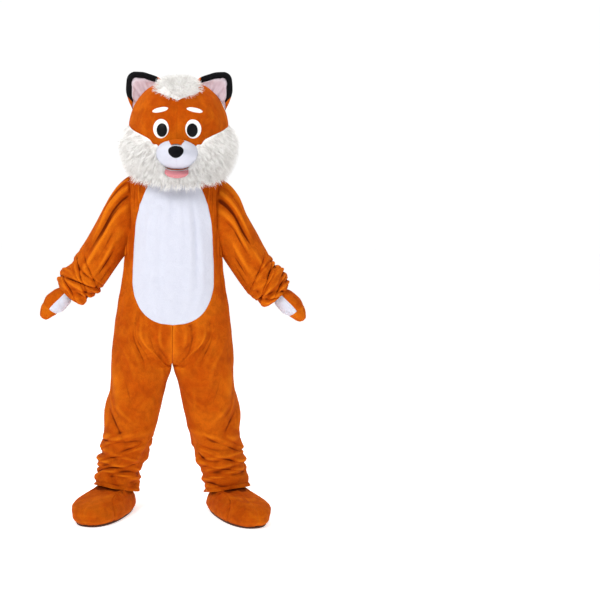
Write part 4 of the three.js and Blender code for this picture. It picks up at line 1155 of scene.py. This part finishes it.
def snout_piece(name):
    angle = all_round(110)
    v = np.linspace(0, 1, 70)[None, :] ** 1.6
    x = SNOUT.half * (1 - v) * np.cos(angle)
    z = SNOUT.z + SNOUT.high * (1 - v) * np.sin(angle)
    points = snout_point(x, z, 0)
    outward = points - vec(0, -150, SNOUT.z)
    normal = normals_of(points, outward, loop=True)
    below = smooth(-(z - SNOUT.z) / 12)
    groove = -2.4 * bump(x, 2.2) * below * smooth((1 - v) * 8)
    relief = groove + 0.8 * ripple(points, 60, 91) * smooth((1 - v) * 3)
    return grid_object(name, points + normal * relief[..., None], outward, loop=True, place=on_head)


def nose_piece(name):
    angle = all_round(64)
    v = np.linspace(0, 1, 30)[None, :] ** 1.4
    x = NOSE.half * (1 - v) * np.cos(angle) * (1 + 0.18 * np.sin(angle))
    z = NOSE.z + NOSE.high * (1 - v) * np.sin(angle)
    points = snout_point(x, z, 3 + NOSE.reach * np.sqrt(1 - (1 - v) ** 2) + 0 * x)
    outward = points - vec(0, -250, NOSE.z)
    return grid_object(name, points, outward, loop=True, place=on_head)


def bridge_piece(name):
    share = np.linspace(-1, 1, 30)[:, None]
    v = np.linspace(BRIDGE.start, BRIDGE.end, 40)[None, :]
    x = BRIDGE.half * share * (0.75 + 0.5 * (v - BRIDGE.start) / (BRIDGE.end - BRIDGE.start))
    up = np.sqrt(np.maximum(v * v - (x / SNOUT.half) ** 2, 0))
    edge = 1 - np.abs(share) ** 6
    out = 0.4 + 2.2 * edge + 0 * v
    points = snout_point(x + 0 * v, SNOUT.z + SNOUT.high * up, 0) + vec(0 * out, -out, 1.6 * out)
    outward = np.broadcast_to(np.array([0.0, -0.5, 1.0]), points.shape)
    return grid_object(name, points, outward, place=on_head)


def cheek_point(angle, v, out):
    """A point out from the cheek's full puff, at an angle from the front and a share of the way down."""
    row = CHEEK(angle)
    turn, latitude, puff = down_cheek(angle, v, row.upper)
    return head_out(turn, latitude, row.puff * puff + out)


def lip_piece(name):
    share = np.linspace(-1, 1, 50)[:, None]
    v = np.linspace(*LIP.stretch, 30)[None, :]
    low = (v - LIP.stretch[0]) / (LIP.stretch[1] - LIP.stretch[0])
    angle = LIP.half * np.abs(share) * np.sqrt(np.maximum(0.02, 1 - low * low))
    edge = (1 - np.abs(share) ** 6) * (1 - (2 * low - 1) ** 6)
    points = cheek_point(angle, FRINGE_START * v + 0 * angle, 0 * angle)
    points[..., 0] *= np.where(share < 0, -1, 1)
    points[..., 1] -= 1 + 3 * edge + 9 * (1 - low)
    outward = np.broadcast_to(np.array([0.0, -1.0, 0.0]), points.shape)
    return grid_object(name, points, outward, place=on_head)


# Crown tuft

TUFT = SimpleNamespace(y=-128, half=97, front=60, back=132, front_power=1.3, back_power=1.7)


def tuft_base(name, high, shrink):
    """The backing of the crown tuft, a low dome on the shell."""
    angle = all_round(80)
    v = np.linspace(0, 1, 24)[None, :]
    is_back = np.sin(angle) > 0
    power = np.where(is_back, TUFT.back_power, TUFT.front_power)
    ahead = np.maximum(0, 1 - np.abs(np.cos(angle)) ** power) ** (1 / power)
    reach = np.where(is_back, TUFT.back - shrink, shrink - TUFT.front)
    x = (TUFT.half - shrink) * (1 - v) * np.cos(angle)
    y = TUFT.y + (1 - v) * ahead * reach
    depth = np.where(y < 0, HEAD.front, HEAD.back)
    turn = np.arctan2(x / HEAD.side, -y / depth)
    out = np.hypot(x / HEAD.side, y / depth)
    latitude = np.arccos(np.clip(out, 0, 1) ** (HEAD_POWER / 2))
    points = head_out(turn, latitude, 2 + high * np.sqrt(1 - (1 - v) ** 2) + 0 * x)
    outward = points - vec(0, 0, HEAD_Z)
    return grid_object(name, points, outward, loop=True, place=on_head)


# Ears

EAR = Profile(
    "u x z",
    (0, 66, 1867), (0.12, 92, 1889), (0.26, 124, 1901), (0.42, 163, 1911), (0.52, 193, 1912),
    (0.6, 216, 1901), (0.68, 227, 1879), (0.8, 230, 1834), (0.91, 219, 1790), (1, 201, 1751),
)
EAR_PLANE = 12
EAR_BAND = 27
EAR_BLACK = (0.13, 0.87)
EAR_FEET = (17.8, 66)  # degrees from upright where its two ends are sewn to the head


def ear_place(u, v, y):
    """A point of an ear: u goes round its outline, and v from there to where it is sewn to the head."""
    edge = EAR(u)
    start, end = EAR_FEET
    lean = np.radians(start + (end - start) * u)
    shell = (np.sin(lean) / HEAD.side) ** HEAD_POWER + (np.cos(lean) / HEAD.up) ** HEAD_POWER
    reach = 0.5 + shell ** (-1 / HEAD_POWER)
    return vec(
        edge.x + (reach * np.sin(lean) - edge.x) * v,
        y,
        edge.z + (HEAD_Z + reach * np.cos(lean) - edge.z) * v,
    )


def band_share(u):
    """The band's share of the way from the outline to the head, which crosses it at a slant."""
    along_edge = unit(ear_place(u + 0.01, 0, 0) - ear_place(u - 0.01, 0, 0))
    way = ear_place(u, 1, 0) - ear_place(u, 0, 0)
    return np.minimum(0.8, EAR_BAND / np.linalg.norm(np.cross(way, along_edge), axis=-1))


def ear_surface(name, us, vs, depth, to_share, facing, side):
    """A surface of an ear over shares of its outline and of the way from there to the head."""
    u, v = np.broadcast_arrays(us[:, None], vs[None, :])
    points = ear_place(u, to_share(u, v), EAR_PLANE + depth(u, v))
    outward = np.broadcast_to(np.array([0.0, float(facing), 0.0]), points.shape)
    return head_grid(name, points, outward, side)


def ear_parts(label, side):
    """The ear's back, the band round its front in three pieces, and its lining."""
    def back(u, v):
        swell = 26 * np.sin(pi * u) * np.sin(pi * np.minimum(0.75, v) * 0.8)
        return 4 + (4 + swell) * smooth(v / 0.12)

    def band(u, v):
        round_edge = np.clip(1 - (2 * v - 1) ** 2, 0, 1) ** 0.4
        return 4 - 13 * round_edge + 0.5 * np.sin(50 * u) * round_edge

    def lining(u, v):
        gathers = 2.4 * np.sin(38 * u + 2 * v) + 1.2 * np.sin(71 * u)
        gathers = gathers * smooth(v * 3) * (0.4 + 0.6 * v)
        return 12 * np.sin(pi * u) * smooth(v * 1.6) - 8 + gathers + 11 * bump(v, 0.12)

    def plain(u, v):
        return v

    def on_band(u, v):
        return v * band_share(u)

    def inside(u, v):
        return band_share(u) * 0.92 + (1 - 0.92 * band_share(u)) * v

    start, end = EAR_BLACK
    wide = 0.5 - 0.5 * np.cos(pi * np.linspace(0, 1, 18))
    full, inner = np.linspace(0, 1, 40), np.linspace(0.03, 0.97, 90)
    table = rows(
        "node look us vs depth to_share facing",
        ("ear_back", "black", np.linspace(0, 1, 60), full, back, plain, 1),
        ("ear_band", "black", np.linspace(start, end, 90), wide, band, on_band, -1),
        ("ear_foot_inner", "orange", np.linspace(0, start, 24), wide, band, on_band, -1),
        ("ear_foot_outer", "orange", np.linspace(end, 1, 24), wide, band, on_band, -1),
        ("ear_lining", "lining", inner, full, lining, inside, -1),
    )
    return {
        row.node: (
            row.look,
            ear_surface(f"{row.node}_{label}", row.us, row.vs, row.depth, row.to_share, row.facing, side),
        )
        for row in table
    }


# Fur

def lock_of_hair(name, length, seed, width=0.0019, blades=5, spread=0.26):
    """A few curved blades that start together, 1 unit being a metre, growing along +Z."""
    rng = np.random.default_rng(seed)
    points, faces = [], []
    for _ in range(blades):
        turn = rng.uniform(0, 2 * pi)
        lean = rng.uniform(0.0, 1.0) * spread
        tall = length * rng.uniform(0.75, 1.1)
        curl = rng.uniform(0.1, 0.5)
        way = np.array([cos(turn), sin(turn), 0])
        side = np.array([-sin(turn), cos(turn), 0])
        start = rng.normal(size=3) * np.array([0.0016, 0.0016, 0])
        base = len(points)
        for share, wide in ((0, 1.0), (0.4, 0.9), (0.75, 0.55)):
            middle = start + way * tall * (lean * share + curl * share**2) + np.array([0, 0, tall * share])
            points += [middle - side * width * wide / 2, middle + side * width * wide / 2]
        points.append(start + way * tall * (lean + curl) + np.array([0, 0, tall]))
        faces += [(base, base + 1, base + 3, base + 2), (base + 2, base + 3, base + 5, base + 4)]
        faces.append((base + 4, base + 5, base + 6))
    mesh = bpy.data.meshes.new(name)
    mesh.from_pydata(points, [], faces)
    obj = bpy.data.objects.new(name, mesh)
    bpy.context.scene.collection.objects.link(obj)
    return obj


def comb(obj, direction):
    """Stores at each point of a piece the way that its hair lies."""
    count = len(obj.data.vertices)
    places = np.empty(count * 3)
    obj.data.vertices.foreach_get("co", places)
    places = places.reshape(-1, 3)
    normals = np.array([v.normal[:] for v in obj.data.vertices])
    ways = unit(direction(places, normals))
    layer = obj.data.attributes.new("comb", "FLOAT_VECTOR", "POINT")
    layer.data.foreach_set("vector", ways.ravel())


HAIR_JITTER = 0.16  # how far a lock leans off the comb direction at most


def fur_tree():
    """Geometry nodes that plant locks of hair over a surface, along its comb directions."""
    tree = bpy.data.node_groups.new("Fur", "GeometryNodeTree")
    face = tree.interface
    face.new_socket("Geometry", in_out="OUTPUT", socket_type="NodeSocketGeometry")
    for name, kind in (
        ("Geometry", "Geometry"), ("Lock", "Object"), ("Density", "Float"), ("Smallest", "Float"),
        ("Largest", "Float"), ("Seed", "Int"), ("Material", "Material"),
    ):
        face.new_socket(name, in_out="INPUT", socket_type=f"NodeSocket{kind}")
    source = tree.nodes.new("NodeGroupInput").outputs
    planted = add_node(
        tree, "GeometryNodeDistributePointsOnFaces", {"distribute_method": "RANDOM"},
        {"Mesh": source["Geometry"], "Density": source["Density"], "Seed": source["Seed"]},
    )
    way = add_node(tree, "GeometryNodeInputNamedAttribute", {"data_type": "FLOAT_VECTOR"}, Name="comb")
    jitter = add_node(
        tree, "FunctionNodeRandomValue", {"data_type": "FLOAT_VECTOR"}, {"Seed": source["Seed"]},
    )
    for index, sign in enumerate((-1, 1)):
        jitter.inputs[index].default_value = (sign * HAIR_JITTER,) * 3
    bent = add_node(tree, "ShaderNodeVectorMath", {"operation": "ADD"})
    tree.links.new(way.outputs["Attribute"], bent.inputs[0])
    tree.links.new(jitter.outputs[0], bent.inputs[1])
    turned = add_node(
        tree, "FunctionNodeAlignRotationToVector", {"axis": "Z"}, {"Vector": bent.outputs[0]},
    )
    spin = add_node(tree, "FunctionNodeRandomValue", {"data_type": "FLOAT"}, {"Seed": source["Seed"]})
    for index, angle in ((2, 0), (3, 2 * pi)):
        spin.inputs[index].default_value = angle
    axis_spin = add_node(tree, "ShaderNodeCombineXYZ", links={"Z": spin.outputs[1]})
    rotation = add_node(
        tree, "FunctionNodeRotateRotation", {"rotation_space": "LOCAL"},
        {"Rotation": turned.outputs["Rotation"], "Rotate By": axis_spin.outputs[0]},
    )
    size = add_node(tree, "FunctionNodeRandomValue", {"data_type": "FLOAT"}, {"Seed": source["Seed"]})
    tree.links.new(source["Smallest"], size.inputs[2])
    tree.links.new(source["Largest"], size.inputs[3])
    lock = add_node(tree, "GeometryNodeObjectInfo", links={"Object": source["Lock"]})
    planted_locks = add_node(
        tree, "GeometryNodeInstanceOnPoints", links={
            "Points": planted.outputs["Points"], "Instance": lock.outputs["Geometry"],
            "Rotation": rotation.outputs["Rotation"], "Scale": size.outputs[1],
        },
    )
    real = add_node(tree, "GeometryNodeRealizeInstances", links={"Geometry": planted_locks.outputs[0]})
    both = tree.nodes.new("GeometryNodeJoinGeometry")
    tree.links.new(source["Geometry"], both.inputs[0])
    tree.links.new(real.outputs[0], both.inputs[0])
    painted = add_node(
        tree, "GeometryNodeSetMaterial", links={"Geometry": both.outputs[0], "Material": source["Material"]},
    )
    tree.links.new(painted.outputs[0], tree.nodes.new("NodeGroupOutput").inputs[0])
    return tree


def grow_fur(obj, lock, density, smallest, largest, seed, material):
    """Plants fur on a piece and leaves it as a plain mesh."""
    tree = bpy.data.node_groups.get("Fur") or fur_tree()
    modifier = obj.modifiers.new("Fur", "NODES")
    modifier.node_group = tree
    values = {
        "Lock": lock, "Density": density, "Smallest": smallest, "Largest": largest, "Seed": seed,
        "Material": material,
    }
    for item in tree.interface.items_tree:
        if item.in_out == "INPUT" and item.name in values:
            modifier[item.identifier] = values[item.name]
    bpy.context.view_layer.update()
    evaluated = obj.evaluated_get(bpy.context.evaluated_depsgraph_get())
    mesh = bpy.data.meshes.new_from_object(evaluated)
    obj.modifiers.remove(modifier)
    mesh.name = obj.name
    obj.data = mesh
    return obj


def without(*objects):
    """Removes objects that were only needed to make others."""
    for obj in objects:
        bpy.data.objects.remove(obj, do_unlink=True)


# The studio

FLOOR_HALF = 30000
# The lamps, in metres and watts.
LAMPS = rows(
    "name place target size watts",
    ("key", (-2.4, -3.6, 2.8), (0, 0, -0.3), 2.0, 150),
    ("fill", (3.2, -3.6, 1.2), (0, 0, -0.5), 3.0, 40),
    ("top", (0.0, 0.4, 3.4), (0, 0, 0), 3.0, 75),
)
# The camera looks past the costume, which stands in the left half of the picture. Its focal length is
# in pixels of the picture, its distance in metres, its height in millimetres, and its pitch, which is
# downwards, and its roll in degrees.
PICTURE_WIDTH = 600
SENSOR_WIDTH = 36
FOCAL = 1160
CAMERA_DISTANCE = 5.04
CAMERA_HEIGHT = 1350
CAMERA_SHIFT = 0.2102
CAMERA_PITCH = 4.79
CAMERA_ROLL = 0.5


def backdrop_world(tree):
    """A bright white wall behind the costume, and a dimmer room on the other sides."""
    place = tree.nodes.new("ShaderNodeTexCoord").outputs["Generated"]
    parts = add_node(tree, "ShaderNodeSeparateXYZ", links={"Vector": place})
    wall = spread_out(tree, parts.outputs["Y"], 0.1, 0.55)
    shade = mixed(tree, wall, linear("929292"), linear("ffffff"))
    background = tree.nodes["Background"]
    tree.links.new(shade, background.inputs["Color"])
    background.inputs["Strength"].default_value = 1.02


def aim(obj, place, target):
    """Puts a lamp at a place and turns it to face a point."""
    obj.location = place
    obj.rotation_euler = (Vector(target) - Vector(place)).to_track_quat("-Z", "Y").to_euler()


# The add-on

SIDES = (("left", 1), ("right", -1))


class CostumeSettings(bpy.types.PropertyGroup):
    """What a user of the costume would change."""
    fur_density: bpy.props.FloatProperty(
        name="Fur density", description="Locks of long fur on a square metre", default=26000,
        min=1000, max=60000,
    )
    fur_length: bpy.props.FloatProperty(
        name="Fur length", description="Length of the long white fur", default=0.042, min=0.01, max=0.1,
        subtype="DISTANCE", unit="LENGTH",
    )
    light_power: bpy.props.FloatProperty(
        name="Light", description="Strength of the studio lights", default=1.0, min=0.1, max=5,
    )


class COSTUME_OT_suit(bpy.types.Operator):
    """Build the suit's front, back and belly panels"""

    bl_idname = "costume.suit"
    bl_label = "Suit"

    def execute(self, context):
        for label, side in SIDES:
            for name, is_front, wide in (("suit_front", True, 0.42), ("suit_back", False, 0.46)):
                panel = suit_panel(f"{name}_{label}_cloth", is_front, side)
                declare(panel, [f"{name}_{label}"], material_of("orange"))
        belly = declare(belly_panel("belly_cloth"), ["belly_panel"], material_of("white"))
        return {"FINISHED"}


class COSTUME_OT_sleeves(bpy.types.Operator):
    """Build the gathered sleeves"""

    bl_idname = "costume.sleeves"
    bl_label = "Sleeves"

    def execute(self, context):
        for label, side in SIDES:
            obj = sleeve_piece(f"sleeve_{label}_cloth", side)
            declare(obj, [f"sleeve_{label}"], material_of("orange"))
        return {"FINISHED"}


class COSTUME_OT_hands_and_feet(bpy.types.Operator):
    """Build the mitts and the foot covers"""

    bl_idname = "costume.hands_and_feet"
    bl_label = "Mitts and feet"

    def execute(self, context):
        for label, side in SIDES:
            for name, turns, stretch, loop, slot, look in (
                ("mitt_back", (-90, 90), (0, KNUCKLE), False, "orange_plush", "orange"),
                ("mitt_palm", (90, 270), (0, KNUCKLE), False, "white_plush", "white"),
                ("mitt_fingers", (0, 360), (KNUCKLE, MITT_END), True, "orange_plush", "orange"),
            ):
                obj = mitt_piece(f"{name}_{label}_cloth", turns, stretch, side, loop=loop)
                declare(obj, [f"{name}_{label}"], material_of(look))
            for name, turns in (("foot_outer", (0, 180)), ("foot_inner", (180, 360))):
                obj = foot_upper(f"{name}_{label}_cloth", turns, side)
                declare(obj, [f"{name}_{label}"], material_of("orange"))
            sole = foot_sole(f"foot_sole_{label}_rubber", side)
            declare(sole, [f"foot_sole_{label}"], material_of("sole"))
        return {"FINISHED"}


class COSTUME_OT_tail(bpy.types.Operator):
    """Build the stuffed tail with its fur tip"""

    bl_idname = "costume.tail"
    bl_label = "Tail"

    def execute(self, context):
        settings = context.scene.costume
        body = tail_surface("tail_body_cloth", (0, TAIL_TIP_START + 12))
        declare(body, ["tail_body"], material_of("orange"))
        tip = tail_surface("tail_tip_fur", (TAIL_TIP_START - 4, TAIL_END), 14, 48, 24, 1)
        comb(tip, lambda places, normals: normals * 0.45 + np.array([0, 0.25, -1.0]))
        lock = lock_of_hair("lock", settings.fur_length, 3)
        grow_fur(tip, lock, settings.fur_density, 0.7, 1.1, 4, material_of("fur"))
        without(lock)
        declare(tip, ["tail_tip"], material_of("fur"))
        return {"FINISHED"}


class COSTUME_OT_head(bpy.types.Operator):
    """Build the head's shell, ears and face"""

    bl_idname = "costume.head"
    bl_label = "Head"

    def execute(self, context):
        for label, side in SIDES:
            shell = head_shell(f"head_{label}_cloth", side)
            declare(shell, [f"head_{label}"], material_of("orange"))
            for node, (look, obj) in ear_parts(label + "_cloth", side).items():
                declare(obj, [f"{node}_{label}"], material_of(look))
            white = face_patch(f"eye_white_{label}_felt", EYE, 0.3, lambda v: 3 * smooth(v * 12), side)
            declare(white, [f"eye_white_{label}"], material_of("felt"))
            pupil = face_patch(
                f"eye_pupil_{label}_dome", PUPIL, 3.4, lambda v: 7 * np.sqrt(1 - (1 - v) ** 2), side,
            )
            declare(pupil, [f"eye_pupil_{label}"], material_of("gloss"))
            brow = face_patch(f"brow_{label}_felt", BROW, 0.3, lambda v: 3 * smooth(v * 5), side)
            declare(brow, [f"brow_{label}"], material_of("felt"))
        for make, name, node, slot, look in (
            (snout_piece, "snout_cloth", "snout", "white_plush", "white"),
            (bridge_piece, "snout_bridge_cloth", "snout_bridge", "orange_plush", "orange"),
            (nose_piece, "nose_cloth", "nose", "nose_plush", "nose"),
            (lip_piece, "lip_felt", "lip", "pink_felt", "pink"),
        ):
            declare(make(name), [node], material_of(look))
        return {"FINISHED"}


class COSTUME_OT_head_fur(bpy.types.Operator):
    """Build the long fur of the cheeks and the crown"""

    bl_idname = "costume.head_fur"
    bl_label = "Head fur"

    def execute(self, context):
        settings = context.scene.costume
        lock = lock_of_hair("lock", settings.fur_length, 5)
        middle = np.array([HEAD_X / 1000, -0.2, (1560 - HELD_HEIGHT) / 1000])

        def from_snout(places, normals):
            away = unit(places - middle)
            lying = away - normals * np.sum(away * normals, axis=-1, keepdims=True)
            return normals * 0.36 + unit(lying) * 0.5 + np.array([0, 0, -0.8])

        for label, side in SIDES:
            cheek = cheek_base(f"cheek_{label}_fur", side)
            comb(cheek, from_snout)
            grow_fur(cheek, lock, settings.fur_density, 0.7, 1.15, 7 + side, material_of("fur"))
            declare(cheek, [f"cheek_fur_{label}"], material_of("fur"))

        top = np.array([HEAD_X / 1000, -0.04, 0])

        def from_crown(places, normals):
            away = places - top
            away[:, 2] = 0
            return normals * 0.4 + unit(away) * 0.8 + np.array([0, 0, -0.1])

        tuft = tuft_base("crown_tuft_fur", 14, 10)
        comb(tuft, from_crown)
        grow_fur(tuft, lock, settings.fur_density, 0.5, 0.8, 9, material_of("fur"))
        declare(tuft, ["crown_tuft"], material_of("fur"))
        without(lock)
        return {"FINISHED"}


class COSTUME_OT_stage(bpy.types.Operator):
    """Build the studio: floor, lights and camera"""

    bl_idname = "costume.stage"
    bl_label = "Studio"

    def execute(self, context):
        scene = context.scene
        corners = ((-1, -1), (1, -1), (1, 1), (-1, 1))
        points = np.array([(FLOOR_HALF * x, FLOOR_HALF * y, -HELD_HEIGHT) for x, y in corners], float)
        floor = object_from("floor", points, np.array([(0, 1, 2, 3)]))
        floor.data.materials.append(material_of("paper"))

        world = bpy.data.worlds.new("Studio")
        world.use_nodes = True
        backdrop_world(world.node_tree)
        scene.world = world
        for lamp in LAMPS:
            data = bpy.data.lights.new(lamp.name, "AREA")
            data.size = lamp.size
            data.energy = lamp.watts * scene.costume.light_power
            obj = bpy.data.objects.new(lamp.name, data)
            scene.collection.objects.link(obj)
            aim(obj, lamp.place, lamp.target)

        data = bpy.data.cameras.new("camera")
        data.sensor_width = SENSOR_WIDTH
        data.lens = SENSOR_WIDTH / PICTURE_WIDTH * FOCAL
        data.shift_x = CAMERA_SHIFT
        camera = bpy.data.objects.new("camera", data)
        scene.collection.objects.link(camera)
        camera.location = (0, -CAMERA_DISTANCE, (CAMERA_HEIGHT - HELD_HEIGHT) / 1000)
        camera.rotation_euler = (pi / 2 - radians(CAMERA_PITCH), -radians(CAMERA_ROLL), 0)
        scene.camera = camera
        scene.view_settings.view_transform = "Standard"
        return {"FINISHED"}


class COSTUME_PT_panel(bpy.types.Panel):
    """The costume's settings and the buttons that build it"""

    bl_idname = "COSTUME_PT_panel"
    bl_label = "Costume"
    bl_space_type = "VIEW_3D"
    bl_region_type = "UI"
    bl_category = "Costume"

    def draw(self, context):
        for name in CostumeSettings.__annotations__:
            self.layout.prop(context.scene.costume, name)
        for operator in OPERATORS:
            self.layout.operator(operator.bl_idname)


OPERATORS = (
    COSTUME_OT_suit, COSTUME_OT_sleeves, COSTUME_OT_hands_and_feet, COSTUME_OT_tail, COSTUME_OT_head,
    COSTUME_OT_head_fur, COSTUME_OT_stage,
)
CLASSES = (CostumeSettings, *OPERATORS, COSTUME_PT_panel)


def register():
    for cls in CLASSES:
        bpy.utils.register_class(cls)
    bpy.types.Scene.costume = bpy.props.PointerProperty(type=CostumeSettings)


def unregister():
    del bpy.types.Scene.costume
    for cls in reversed(CLASSES):
        bpy.utils.unregister_class(cls)


def main():
    register()
    for operator in OPERATORS:
        group, name = operator.bl_idname.split(".")
        getattr(getattr(bpy.ops, group), name)()


if __name__ == "__main__":
    main()
